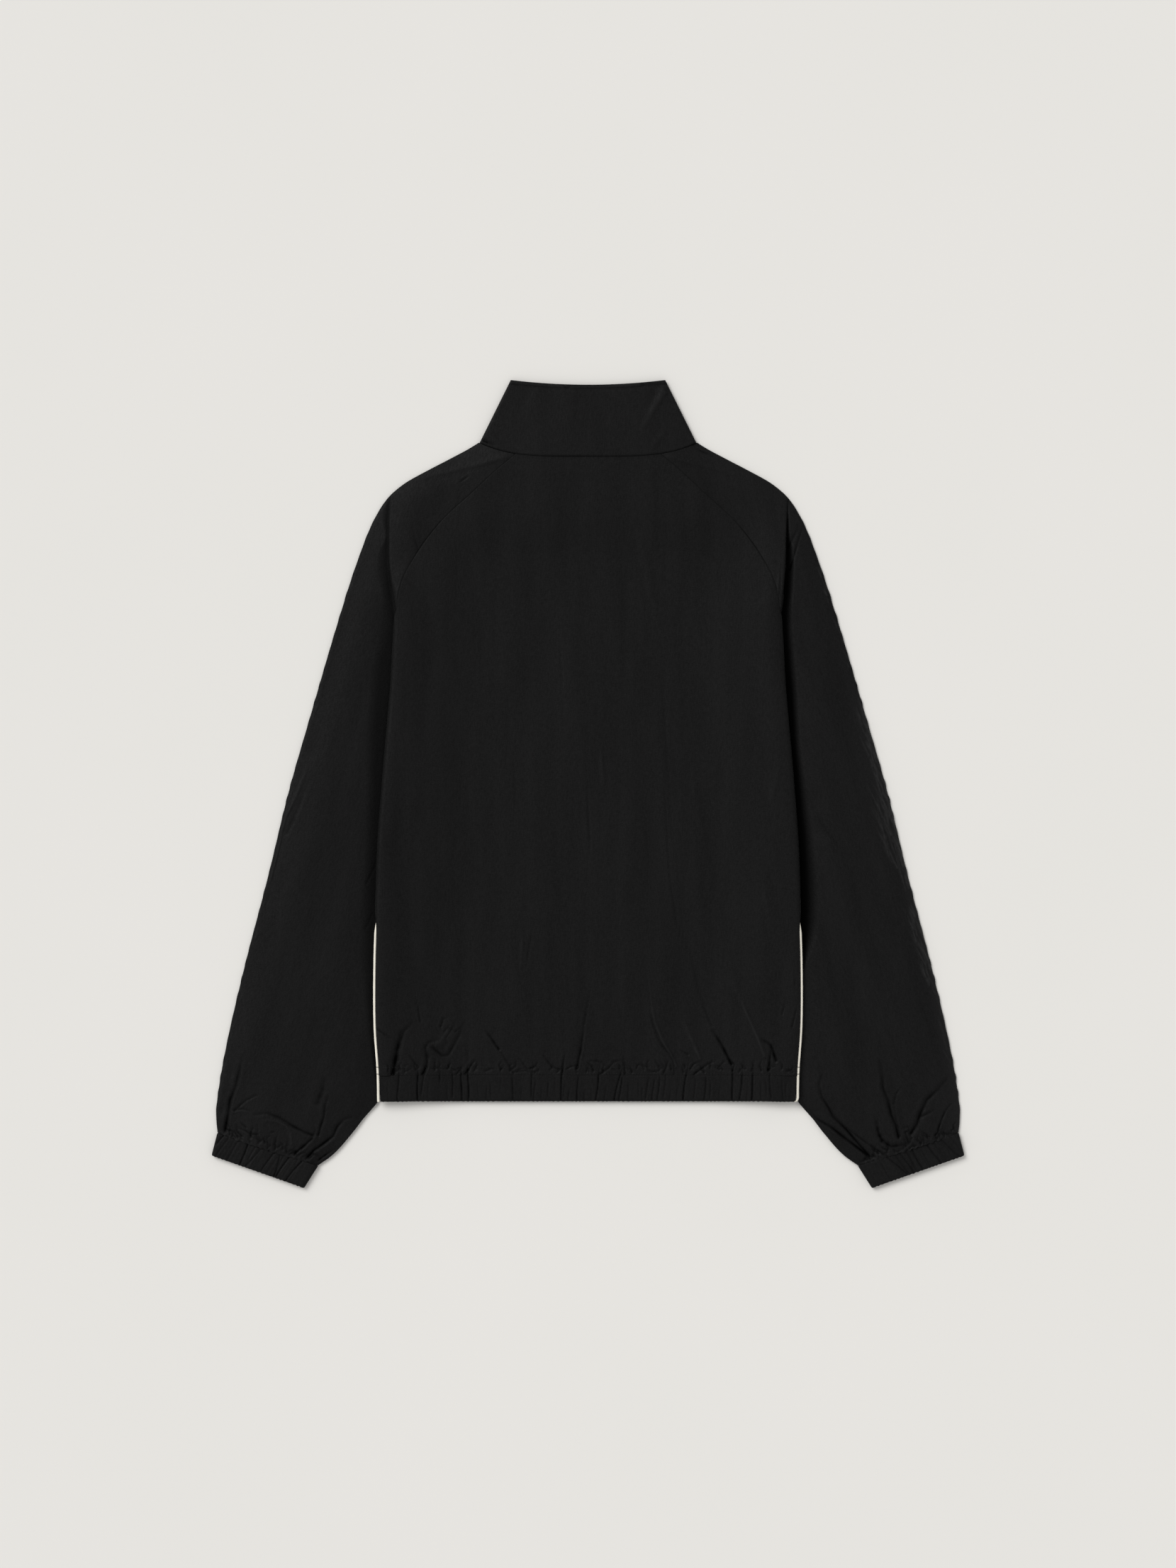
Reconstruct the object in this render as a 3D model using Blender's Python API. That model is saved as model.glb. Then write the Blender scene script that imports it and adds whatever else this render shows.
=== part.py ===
"""Windbreaker laid flat on its front, built from the panels that a maker cuts and sews.

Sizes are in millimetres and become metres where a point is made. The floor is z = 0, the collar
points to +Y, and the wearer's left is on -X because the back faces up.
"""
import bisect
import math
from collections import namedtuple

import bmesh
import bpy
from mathutils import Matrix, Vector

MM = 0.001

# Thickness of cloth and the gap at seams
WALL = 1.2
CASING = 2.8
COLLAR_WALL = 2.2
TAPE_WALL = 1.0
SEAM = 0.3
HIDDEN_SEAM = 0.5
PIPING_RADIUS = 1.7
MAX_STEEPNESS = 1.8

# Heights of the layers as the jacket lies
FOLD_GAP = 0.7
FLAT_STACK = 2 * WALL + FOLD_GAP
BODY_STACK = 5.8
SIDE_ROLL = 1.4
SIDE_ROLL_PLACE = 9.0
SIDE_ROLL_WIDTH = 14.0
SLEEVE_STACK = 7.5
SLEEVE_INNER_SLOPE = 60.0
SLEEVE_OUTER_SLOPE = 34.0
SHOULDER_SLOPE = 14.0
SHOULDER_SLOPE_STARTS = 240.0
CASING_GAP = 0.4
CASING_STACK = 2 * CASING + CASING_GAP
COLLAR_STACK = 5.6
NECK_RISE = 2.2
NECK_RISE_STARTS = 235.0
NECK_RISE_REACH = 55.0
NECK_RISE_HALF = 170.0
NECK_RISE_FADE = 60.0
SIDE_LIFT = 5.5
LIFT_STARTS = 45.0
LIFT_FULL = 18.0
STEP_WIDTH = 4.0

# Main places on the jacket
HEM_Y = -335.5
HEM_SEAM_Y = -307.5
ARMPIT_Y = 185.0
SLEEVE_FREE_Y = 165.0
SHOULDER_Y = 303.0
NECK_HALF = 114.5
NECK_SIDE_Y = 361.0
NECK_BACK_DIP = 15.0
NECK_FRONT_DROP = 90.0
NECK_FRONT_ROUND = 0.8
COLLAR_TOP_HALF = 81.75
COLLAR_TOP_Y = 427.0
COLLAR_BACK_DIP = 5.0
COLLAR_FRONT_DROP = 78.0
PIPING_HIDDEN_Y = -130.0
PIPING_SHOWN_Y = -160.0
PIPING_SHOWS = 3.0
PIPING_TUCK = 1.5
GATHERS = 36
GATHER_COLUMNS = 3 * GATHERS
GATHER_REACH = 30.0
GATHER_DEPTH = 0.8
SIDE_COLUMNS = 0.08
FRONT_COLUMNS = 1.6
FRONT_SET_BACK = 1.0
HEM_TURN = 4.5
HEM_TURN_DROP = 0.45

# Zip
CHAIN_HALF = 2.6
FRONT_EDGE = 4.2
TAPE_INNER = 2.9
TAPE_OUTER = 10.0
CHAIN_HEIGHT = 1.7
ZIP_RAISE = 2.8
ZIP_RAISE_STARTS = 255.0
ZIP_RAISE_REACH = 50.0
ZIP_RAISE_WIDTH = 22.0
ZIP_TOP_Y = 345.4
SLIDER_Y = 336.5
SLIDER_SIZE = (7.6, 13.0, 2.7)
SLIDER_LOW = 2.3
PULL_AXIS_Z = 1.4
PULL_LENGTH = 28.0
PULL_WIDTH = 5.0
PULL_WALL = 0.9
BAR_HALF = 0.45

# Outlines of the right half, as places across (x) at heights (y)
Place = namedtuple("Place", "y x")

BODY_SIDE = (
    Place(-336, 222.8), Place(-303, 223.5), Place(-258, 226.5), Place(-187, 226.7), Place(-130, 224.8),
    Place(-63, 222.4), Place(4, 217.5), Place(85, 210.4), Place(170, 203.0), Place(185, 202.0),
)
RAGLAN_BACK = (
    Place(185, 202.0), Place(198, 200.6), Place(218, 195.0), Place(240, 183.0), Place(262, 168.0),
    Place(283, 150.0), Place(307, 123.4), Place(333, 95.6), Place(349, 76.5),
)
RAGLAN_FRONT = (
    Place(185, 202.0), Place(203, 197.0), Place(226, 183.0), Place(253, 160.0), Place(280, 132.0),
    Place(302, 108.0), Place(317, 88.2),
)
SLEEVE_INNER = (
    Place(-403, 285.0), Place(-393, 271.0), Place(-370, 250.0), Place(-348, 233.0), Place(-336, 222.3),
    Place(-307, 219.4), Place(-258, 217.5), Place(-187, 213.7), Place(-63, 208.4), Place(4, 204.5),
    Place(85, 201.4), Place(130, 201.5), Place(150, 201.8), Place(158, 203.0), Place(164, 204.1),
    Place(172, 203.5), Place(178, 203.1), Place(185, 202.3),
)
SLEEVE_OUTER = (
    Place(-368.3, 391.9), Place(-348, 393.4), Place(-325, 391.0), Place(-280, 383.2), Place(-190, 362.5),
    Place(-100, 338.9), Place(-10, 317.1), Place(80, 291.3), Place(170, 264.9), Place(237, 243.4),
    Place(282, 225.0), Place(304, 210.3), Place(314, 199.1), Place(320, 190.5), Place(332, 168.4),
    Place(344, 145.0), Place(356, 122.4), Place(360.4, 115.5),
)
SLEEVE_CREASE = (
    Place(185, 202.0), Place(200, 206.5), Place(220, 209.0), Place(260, 209.5), Place(303, 209.5),
)

# Rows across a sleeve: height at its outer edge and at its inner edge, and rows since the last one
SleeveRow = namedtuple("SleeveRow", "outer back front count")

SLEEVE_ROWS = (
    SleeveRow(-368.3, -403, -403, 0),
    SleeveRow(-331, -362, -362, 4),
    SleeveRow(-232, -255, -255, 4),
    SleeveRow(110, 95, 95, 5),
    SleeveRow(172, 157, 157, 2),
    SleeveRow(181, 164.5, 164.5, 1),
    SleeveRow(204, 185, 185, 3),
    SleeveRow(300, 285, 268, 6),
    SleeveRow(360.4, 349, 317, 5),
)

# Rows across the body below the armpits: height, and rows since the last one
BodyRow = namedtuple("BodyRow", "y count")

BODY_ROWS = (
    BodyRow(HEM_SEAM_Y + SEAM, 0), BodyRow(-280, 3), BodyRow(-250, 2), BodyRow(-150, 2),
    BodyRow(100, 4), BodyRow(165, 2), BodyRow(ARMPIT_Y, 1),
)
FINE_ROWS = 5

# Cuff corners of the right sleeve
CUFF_TOP = (Vector((285.0, -403.0)), Vector((391.9, -368.3)))
CUFF_BOTTOM = (Vector((300.0, -427.0)), Vector((398.0, -392.6)))
CUFF_CREASES = 9
CUFF_CREASE_DEPTH = 0.7
CUFF_TURN = 0.5
CUFF_LOWER_COLUMNS = 8

# Folds pressed into the cloth: from, to, height (a trough is negative) and width
Fold = namedtuple("Fold", "x0 y0 x1 y1 height width")

BACK_FOLDS = (
    Fold(-204, -304, -195, -266, -2.2, 8), Fold(-223, -258, -207, -267, -1.0, 5),
    Fold(-171, -305, -152, -248, -2.0, 7), Fold(-145, -262, -131, -247, 1.2, 7),
    Fold(-82, -301, -107, -261, -1.8, 6), Fold(-12, -299, -4, -250, -1.4, 6),
    Fold(89, -297, 62, -237, 1.6, 7), Fold(108, -290, 84, -225, -1.2, 8),
    Fold(151, -296, 130, -259, -2.2, 7), Fold(181, -275, 156, -215, 1.6, 8),
    Fold(198, -293, 186, -270, -2.2, 6), Fold(-28, -300, -25, -280, -1.0, 5),
    Fold(118, -250, 70, -40, -0.9, 16), Fold(20, -120, 26, 150, -0.7, 18),
    Fold(55, 120, 36, 260, 0.6, 14), Fold(-60, -210, -70, 60, 0.5, 20),
    Fold(-190, -150, -182, 140, -0.8, 14), Fold(-20, 60, -30, 270, 0.5, 16),
)
SHOULDER_FOLDS = (
    Fold(88, 344, 188, 320, 0.9, 5), Fold(140, 318, 172, 306, -0.7, 6), Fold(188, 292, 203, 262, -0.8, 5),
)
SLEEVE_FOLDS = {
    "left": (
        Fold(368, -295, 382, -360, -1.5, 6), Fold(349, -329, 374, -345, -1.6, 6),
        Fold(351, -349, 327, -356, -1.8, 6), Fold(327, -356, 292, -370, -1.8, 6),
        Fold(289, -369, 317, -389, -1.8, 6), Fold(279, -310, 283, -367, 1.5, 8),
        Fold(251, -352, 275, -390, -1.4, 6), Fold(330, -200, 345, -60, -0.8, 14),
    ),
    "right": (
        Fold(238, -353, 284, -385, -1.9, 7), Fold(244, -318, 254, -342, -1.4, 6),
        Fold(254, -342, 311, -392, -1.9, 6), Fold(310, -310, 327, -373, 1.6, 8),
        Fold(305, -352, 323, -385, -1.6, 6), Fold(377, -313, 339, -369, -1.9, 7),
        Fold(378, -345, 368, -371, -1.2, 5), Fold(322, -210, 338, -70, -0.8, 14),
    ),
}
FOLD_CLEAR = 22.0

SIDES = {"left": -1, "right": 1}


def smooth(t):
    """Ease from 0 to 1."""
    t = min(max(t, 0.0), 1.0)
    return t * t * (3.0 - 2.0 * t)


def crown(t):
    """Rise from 0 to 1, steep at first and level at the end."""
    return 1 - (1 - min(t, 1.0)) ** 2


def curve_through(places):
    """A smooth curve through (y, x) places, as a function of y."""
    ys = [p.y for p in places]
    xs = [p.x for p in places]
    last = len(ys) - 1
    chords = [(xs[i + 1] - xs[i]) / (ys[i + 1] - ys[i]) for i in range(last)]
    slopes = [chords[0]] + [(chords[i] + chords[i + 1]) / 2 for i in range(last - 1)] + [chords[-1]]

    def at(y):
        i = min(max(bisect.bisect_right(ys, y) - 1, 0), last - 1)
        span = ys[i + 1] - ys[i]
        t = min(max((y - ys[i]) / span, 0.0), 1.0)
        ease = t * t * (3 - 2 * t)
        start = (t ** 3 - 2 * t * t + t) * span * slopes[i]
        end = (t ** 3 - t * t) * span * slopes[i + 1]
        return xs[i] * (1 - ease) + xs[i + 1] * ease + start + end

    return at


body_side = curve_through(BODY_SIDE)
raglan_back = curve_through(RAGLAN_BACK)
raglan_front = curve_through(RAGLAN_FRONT)
sleeve_inner = curve_through(SLEEVE_INNER)
sleeve_outer = curve_through(SLEEVE_OUTER)
sleeve_crease = curve_through(SLEEVE_CREASE)


def spread(rows, column):
    """Heights of every row, filled in evenly between the rows of a table."""
    heights = [getattr(rows[0], column)]
    for before, after in zip(rows, rows[1:]):
        low = getattr(before, column)
        high = getattr(after, column)
        heights += [low + (high - low) * k / after.count for k in range(1, after.count + 1)]
    return heights


def between(values, w):
    """Read a list of row heights at a fraction w of its length."""
    place = min(max(w, 0.0), 1.0) * (len(values) - 1)
    i = min(int(place), len(values) - 2)
    return values[i] + (values[i + 1] - values[i]) * (place - i)


SLEEVE_OUTER_YS = spread(SLEEVE_ROWS, "outer")
SLEEVE_BACK_YS = spread(SLEEVE_ROWS, "back")
SLEEVE_FRONT_YS = spread(SLEEVE_ROWS, "front")
BACK_YS = spread(BODY_ROWS, "y") + [y for y in SLEEVE_BACK_YS if y > ARMPIT_Y]
FRONT_YS = spread(BODY_ROWS, "y") + [y for y in SLEEVE_FRONT_YS if y > ARMPIT_Y]


def neck_back(x):
    """Height of the back neck seam."""
    return NECK_SIDE_Y - NECK_BACK_DIP * (1 - (abs(x) / NECK_HALF) ** 4)


def neck_front(x, gap):
    """Height of the front neck seam, moved out by a gap."""
    across = min(abs(x) / (NECK_HALF + gap), 1.0)
    return NECK_SIDE_Y - (NECK_FRONT_DROP + gap) * (1 - across * across) ** NECK_FRONT_ROUND


def fold_height(x, y, folds):
    """Height of all folds of a table at a place."""
    total = 0.0
    for fold in folds:
        run = Vector((fold.x1 - fold.x0, fold.y1 - fold.y0))
        away = Vector((x - fold.x0, y - fold.y0))
        t = min(max(away.dot(run) / run.length_squared, 0.0), 1.0)
        gap = (away - run * t).length / fold.width
        total += fold.height * math.exp(-gap * gap)
    return total


def side_edge(y):
    """The body's side below the armpit, and the crease that carries it on over the sleeve."""
    return body_side(y) if y <= ARMPIT_Y else sleeve_crease(y)


def cap_fade(y):
    """1 along the body, falling to 0 from the armpit to the shoulder."""
    return 1 - smooth((y - ARMPIT_Y) / (SHOULDER_Y - ARMPIT_Y))


def side_lift(x, y):
    """How far the body's side is held up by the sleeve that is tucked below it."""
    inside = side_edge(y) - abs(x)
    rise = smooth((LIFT_STARTS - inside) / (LIFT_STARTS - LIFT_FULL))
    return SIDE_LIFT * rise * cap_fade(y)


def body_stack(x, y):
    """Thickness of the jacket's body, from the underside of the front to the top of the back."""
    inside = (side_edge(y) - abs(x) - SIDE_ROLL_PLACE) / SIDE_ROLL_WIDTH
    roll = SIDE_ROLL * math.exp(-inside * inside) * cap_fade(y)
    neck = NECK_RISE * smooth((y - NECK_RISE_STARTS) / NECK_RISE_REACH)
    neck *= smooth((NECK_RISE_HALF - abs(x)) / NECK_RISE_FADE)
    return BODY_STACK + roll + neck


def zip_raise(x, y):
    """How far the zip's slider props up the cloth round it."""
    along = smooth((y - ZIP_RAISE_STARTS) / ZIP_RAISE_REACH)
    return ZIP_RAISE * along * math.exp(-(x / ZIP_RAISE_WIDTH) ** 2)


def gather_wave(u):
    """Puckers across the hem: one trough for every third column, each of its own depth."""
    place = u * GATHERS
    own = 0.55 + 0.45 * math.sin(1.7 * math.floor(place + 0.5) + 0.4)
    return -own * math.cos(2 * math.pi * place)


def across_body(u):
    """Fraction from -1 to 1 across the body, with columns closer together at its sides."""
    c = 2 * u - 1
    return c + SIDE_COLUMNS * math.sin(math.pi * c)


def across_front(u):
    """Fraction from 0 to 1 from the zip to the side, with columns closer together at the side."""
    return 1 - (1 - u) ** FRONT_COLUMNS


def make_material(name, colour, roughness, metallic=0.0):
    material = bpy.data.materials.new(name)
    material.use_nodes = True
    shader = material.node_tree.nodes["Principled BSDF"]
    shader.inputs["Base Color"].default_value = (*colour, 1.0)
    shader.inputs["Roughness"].default_value = roughness
    shader.inputs["Metallic"].default_value = metallic
    return material


NYLON = dict(colour=(0.010, 0.010, 0.010), roughness=0.62)
CASING_NYLON = dict(colour=(0.009, 0.009, 0.009), roughness=0.65)
PIPING_CORD = dict(colour=(0.89, 0.86, 0.76), roughness=0.7)
ZIP_TAPE = dict(colour=(0.012, 0.012, 0.012), roughness=0.8)
ZIP_MOULDED = dict(colour=(0.015, 0.015, 0.016), roughness=0.4)
ZIP_METAL = dict(colour=(0.05, 0.05, 0.052), roughness=0.35, metallic=1.0)


def finish(name, bm, look):
    """Turn a bmesh into a named object with its own material."""
    bmesh.ops.recalc_face_normals(bm, faces=bm.faces)
    if bm.calc_volume(signed=True) < 0:
        bmesh.ops.reverse_faces(bm, faces=bm.faces)
    mesh = bpy.data.meshes.new(name)
    bm.to_mesh(mesh)
    bm.free()
    mesh.shade_smooth()
    mesh.set_sharp_from_angle(angle=math.radians(40))
    mesh.materials.append(make_material(name, **look))
    made = bpy.data.objects.new(name, mesh)
    bpy.context.scene.collection.objects.link(made)
    return made


def slab(name, columns, rows, place, look, fine_rows=0):
    """A closed wall: a grid extruded one layer thick, each corner then put in its place.

    place(u, w, layer) gives a point in millimetres, with layer 0 below and 1 above. The first
    fine_rows rows have three columns for each one above them.
    """
    bm = bmesh.new()
    bmesh.ops.create_grid(bm, x_segments=columns, y_segments=rows, size=0.5)
    if fine_rows:
        limit = fine_rows / rows - 0.5 + 1e-4
        low = [e for e in bm.edges if max(v.co.y for v in e.verts) < limit]
        along = [e for e in low if abs(e.verts[0].co.y - e.verts[1].co.y) < 1e-4]
        bmesh.ops.subdivide_edges(bm, edges=along, cuts=2, use_grid_fill=True)
    top = bmesh.ops.extrude_face_region(bm, geom=bm.faces[:])["geom"]
    bmesh.ops.translate(bm, verts=[g for g in top if isinstance(g, bmesh.types.BMVert)], vec=(0, 0, 1))
    for vert in bm.verts:
        vert.co = place(vert.co.x + 0.5, vert.co.y + 0.5, vert.co.z) * MM
    return finish(name, bm, look)


def steepness(sheet, u, w):
    """Length of a sheet's normal over its height, so that a sloping wall keeps its thickness."""
    step = 0.002
    across = sheet(min(u + step, 1), w) - sheet(max(u - step, 0), w)
    along = sheet(u, min(w + step, 1)) - sheet(u, max(w - step, 0))
    normal = across.cross(along)
    return min(normal.length / max(abs(normal.z), 1e-9), MAX_STEEPNESS)


def wall_below(sheet):
    """Place function of a wall whose outer face is the sheet and which lies below it."""
    def place(u, w, layer):
        point = sheet(u, w)
        if layer < 0.5:
            point.z -= WALL * steepness(sheet, u, w)
        return point
    return place


def wall_above(sheet):
    """Place function of a wall whose outer face is the sheet and which lies above it."""
    def place(u, w, layer):
        point = sheet(u, w)
        if layer > 0.5:
            point.z += WALL * steepness(sheet, u, w)
        return point
    return place


def back_edge(y):
    """Half the back panel's width: it shows the piping low down and covers it above."""
    if y > ARMPIT_Y:
        return raglan_back(y) - SEAM / 2
    shown = 1 - smooth((y - PIPING_SHOWN_Y) / (PIPING_HIDDEN_Y - PIPING_SHOWN_Y))
    return body_side(y) - PIPING_SHOWS * shown


def back_sheet(u, w):
    """Upper face of the back panel."""
    row = between(BACK_YS, w)
    x = back_edge(row) * across_body(u)
    neck_x = back_edge(BACK_YS[-1]) * across_body(u)
    rise = max(row - ARMPIT_Y, 0) / (BACK_YS[-1] - ARMPIT_Y)
    y = row + rise ** 3 * (neck_back(neck_x) - SEAM - BACK_YS[-1])
    gather = GATHER_DEPTH * gather_wave(u) * math.exp(-(row - HEM_SEAM_Y) / GATHER_REACH)
    z = side_lift(x, y) + body_stack(x, y) + fold_height(x, y, BACK_FOLDS) + gather
    clear = side_lift(x, y) + FLAT_STACK + WALL
    return Vector((x, y, max(z, clear)))


def make_back():
    slab("back", GATHERS, len(BACK_YS) - 1, wall_below(back_sheet), NYLON, fine_rows=FINE_ROWS)


def make_front(name, side):
    """One front: flat on the floor, its side edge lifted over the tucked sleeve."""
    def sheet(u, w):
        row = between(FRONT_YS, w)
        across = across_front(u)
        edge = body_side(row) - FRONT_SET_BACK if row <= ARMPIT_Y else raglan_front(row) - SEAM / 2
        x = FRONT_EDGE + (edge - FRONT_EDGE) * across
        neck_x = FRONT_EDGE + (raglan_front(FRONT_YS[-1]) - FRONT_EDGE) * across
        rise = max(row - ARMPIT_Y, 0) / (FRONT_YS[-1] - ARMPIT_Y)
        y = row + rise * (neck_front(neck_x, HIDDEN_SEAM) - FRONT_YS[-1])
        return Vector((side * x, y, side_lift(x, y) + zip_raise(x, y)))

    slab(name, 9, len(FRONT_YS) - 1, wall_above(sheet), NYLON)


def sleeve_plan(t, w, inner_ys, raglan, neck):
    """Place on a sleeve at a fraction t from its inner to its outer edge, and its edge distances."""
    inner_y = between(inner_ys, w)
    outer_y = between(SLEEVE_OUTER_YS, w)
    inner_x = sleeve_inner(inner_y) if inner_y <= ARMPIT_Y else raglan(inner_y) + SEAM / 2
    outer_x = sleeve_outer(outer_y)
    x = inner_x + (outer_x - inner_x) * t
    y = inner_y + (outer_y - inner_y) * t
    last = SLEEVE_ROWS[-1].count / (len(inner_ys) - 1)
    bend = max(w - 1 + last, 0) / last
    neck_x = raglan(inner_ys[-1]) + (sleeve_outer(SLEEVE_OUTER_YS[-1]) - raglan(inner_ys[-1])) * t
    chord_y = inner_ys[-1] + (SLEEVE_OUTER_YS[-1] - inner_ys[-1]) * t
    y += bend * bend * (neck(neck_x) - chord_y)
    width = math.hypot(outer_x - inner_x, outer_y - inner_y)
    return x, y, t * width, (1 - t) * width, inner_y


def sleeve_lift(x, y, inner_y):
    """The body's lift carried into the sleeve cap, stepping down at the crease and at the armpit."""
    joined = smooth((inner_y - SLEEVE_FREE_Y) / (ARMPIT_Y + 2 - SLEEVE_FREE_Y))
    if y <= ARMPIT_Y:
        beyond = x - body_side(y)
        rise = 1.0
    else:
        beyond = x - sleeve_crease(y)
        rise = side_lift(min(x, sleeve_crease(y)), y) / SIDE_LIFT
    return SIDE_LIFT * rise * (1 - smooth(beyond / STEP_WIDTH)) * joined, joined


def make_sleeve_back(name, side):
    folds = SLEEVE_FOLDS[name.rsplit("_", 1)[1]] + SHOULDER_FOLDS

    def sheet(u, w):
        x, y, inside, outside, inner_y = sleeve_plan(
            u, w, SLEEVE_BACK_YS, raglan_back, lambda x: neck_back(x) - HIDDEN_SEAM)
        lift, joined = sleeve_lift(x, y, inner_y)
        inner_stack = FLAT_STACK + (body_stack(x, y) - FLAT_STACK) * joined
        loft = max(SLEEVE_STACK, inner_stack)
        stack = inner_stack + (loft - inner_stack) * crown(inside / SLEEVE_INNER_SLOPE)
        shoulder = smooth((y - SHOULDER_SLOPE_STARTS) / (SHOULDER_Y - SHOULDER_SLOPE_STARTS))
        slope = SLEEVE_OUTER_SLOPE + (SHOULDER_SLOPE - SLEEVE_OUTER_SLOPE) * shoulder
        stack = FLAT_STACK + (stack - FLAT_STACK) * crown(outside / slope)
        clear = smooth(outside / FOLD_CLEAR) * (smooth(inside / FOLD_CLEAR) if inner_y < ARMPIT_Y else 1)
        z = lift + stack + fold_height(x, y, folds) * clear
        return Vector((side * x, y, z))

    slab(name, 12, len(SLEEVE_BACK_YS) - 1, wall_below(sheet), NYLON)


def make_sleeve_front(name, side):
    def sheet(u, w):
        x, y, _, _, inner_y = sleeve_plan(
            u, w, SLEEVE_FRONT_YS, raglan_front, lambda x: neck_front(x, HIDDEN_SEAM))
        lift, _ = sleeve_lift(x, y, inner_y)
        return Vector((side * x, y, lift))

    slab(name, 6, len(SLEEVE_FRONT_YS) - 1, wall_above(sheet), NYLON)


def hem_edge(y):
    """Half the width of the hem casings, which stop short of the piping."""
    return body_side(y) - 2 * PIPING_RADIUS - SEAM


def make_hem_back():
    """Upper half of the hem casing, gathered, with its lower edge turned down."""
    def place(u, w, layer):
        y = HEM_SEAM_Y + (HEM_Y - HEM_SEAM_Y) * w
        x = hem_edge(y) * across_body(u)
        low = side_lift(x, y) + CASING + CASING_GAP
        if layer < 0.5:
            return Vector((x, y, low))
        full = smooth((y - HEM_Y) / HEM_TURN)
        crease = GATHER_DEPTH * gather_wave(u) * full
        return Vector((x, y, low + CASING * (1 - HEM_TURN_DROP * (1 - full)) + crease))

    slab("hem_back", GATHER_COLUMNS, 6, place, CASING_NYLON)


def make_hem_front(name, side):
    def place(u, w, layer):
        y = HEM_SEAM_Y + (HEM_Y - HEM_SEAM_Y) * w
        start = TAPE_OUTER + CASING_GAP
        x = start + (hem_edge(y) - start) * across_front(u)
        return Vector((side * x, y, side_lift(x, y) + CASING * layer))

    slab(name, 24, 1, place, CASING_NYLON)


def make_cuff(name, side):
    """A flattened ring of casing: upper and lower runs joined by a round turn at each end."""
    radius = CASING_STACK / 2
    slit = radius - CASING
    columns = 3 * CUFF_CREASES
    upper = [(k / columns, 90) for k in range(columns + 1)]
    outer_turn = [(1.0, angle) for angle in (45, 0, -45)]
    lower = [(1 - k / CUFF_LOWER_COLUMNS, -90) for k in range(CUFF_LOWER_COLUMNS + 1)]
    inner_turn = [(0.0, angle) for angle in (-45, 0, 45)]
    stations = upper + outer_turn + lower + inner_turn
    phase = 0.3 if side > 0 else 1.1

    def loop(h, reach, crease_depth):
        start = CUFF_TOP[0].lerp(CUFF_BOTTOM[0], h)
        end = CUFF_TOP[1].lerp(CUFF_BOTTOM[1], h)
        run = (end - start).normalized()
        down = (CUFF_BOTTOM[1] - CUFF_TOP[1]).normalized() * SEAM * (1 - h)
        points = []
        for s, angle in stations:
            swing = math.radians(angle)
            middle = (start + run * radius).lerp(end - run * radius, s) + down
            out = reach * math.cos(swing) * (1 if s > 0.5 else -1)
            z = radius + reach * math.sin(swing)
            if angle == 90:
                own = 0.6 + 0.4 * math.sin(2.3 * math.floor(s * CUFF_CREASES + 0.5) + phase)
                z -= crease_depth * own * math.cos(2 * math.pi * s * CUFF_CREASES)
            place = middle + run * out
            points.append(Vector((side * place.x, place.y, z)) * MM)
        return points

    shut = radius - CUFF_TURN
    outer = [
        loop(0.0, shut, CUFF_CREASE_DEPTH / 2), loop(0.12, radius, CUFF_CREASE_DEPTH),
        loop(0.88, radius, CUFF_CREASE_DEPTH), loop(1.0, shut, CUFF_CREASE_DEPTH / 2),
    ]
    inner = [loop(1.0, slit, 0.0), loop(0.0, slit, 0.0)]
    bm = bmesh.new()
    rings = [[bm.verts.new(point) for point in ring] for ring in outer + inner]
    for ring, after in zip(rings, rings[1:] + rings[:1]):
        for k in range(len(ring)):
            bm.faces.new((ring[k - 1], ring[k], after[k], after[k - 1]))
    finish(name, bm, CASING_NYLON)


def make_collar():
    """One band: from the zip, flat on the floor, round each side and across the back."""
    radius = COLLAR_STACK / 2
    floor_run = [0.0, 0.16, 0.32, 0.46, 0.58, 0.68, 0.77, 0.84, 0.9, 0.95]
    turn = [-90, -50, -15, 15, 50, 90]
    back_run = [0.93, 0.84, 0.72, 0.58, 0.42, 0.24]
    half = [(rho, -1) for rho in floor_run] + [(angle, 0) for angle in turn] + [(rho, 1) for rho in back_run]
    stations = [(1, *s) for s in half] + [(1, 0.0, 1)] + [(-1, *s) for s in reversed(half)]
    columns = len(stations) - 1

    def place(u, w, layer):
        side, value, level = stations[round(u * columns)]
        half_width = NECK_HALF + (COLLAR_TOP_HALF - NECK_HALF) * w
        side_y = NECK_SIDE_Y + (COLLAR_TOP_Y - NECK_SIDE_Y) * w
        reach = radius if layer > 0.5 else radius - COLLAR_WALL
        straight = half_width - radius
        swing = math.radians(value) if level == 0 else math.radians(90 * level)
        x = straight + reach * math.cos(swing) if level == 0 else straight * value
        if level < 0:
            x = max(x, FRONT_EDGE)
        rho = min((straight + radius * math.cos(swing) if level == 0 else x) / half_width, 1.0)
        z = radius + reach * math.sin(swing)
        if swing < 0:
            drop = NECK_FRONT_DROP + (COLLAR_FRONT_DROP - NECK_FRONT_DROP) * w
            y = side_y - drop * (1 - rho * rho) ** NECK_FRONT_ROUND
            z += zip_raise(x, y)
        else:
            y = (1 - w) * neck_back(rho * NECK_HALF)
            y += w * (COLLAR_TOP_Y - COLLAR_BACK_DIP * (1 - rho * rho))
            z += (BODY_STACK + NECK_RISE - COLLAR_STACK) * (1 - w) * (1 - rho ** 4)
        return Vector((side * x, y, z))

    slab("collar", columns, 5, place, NYLON)


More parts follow.
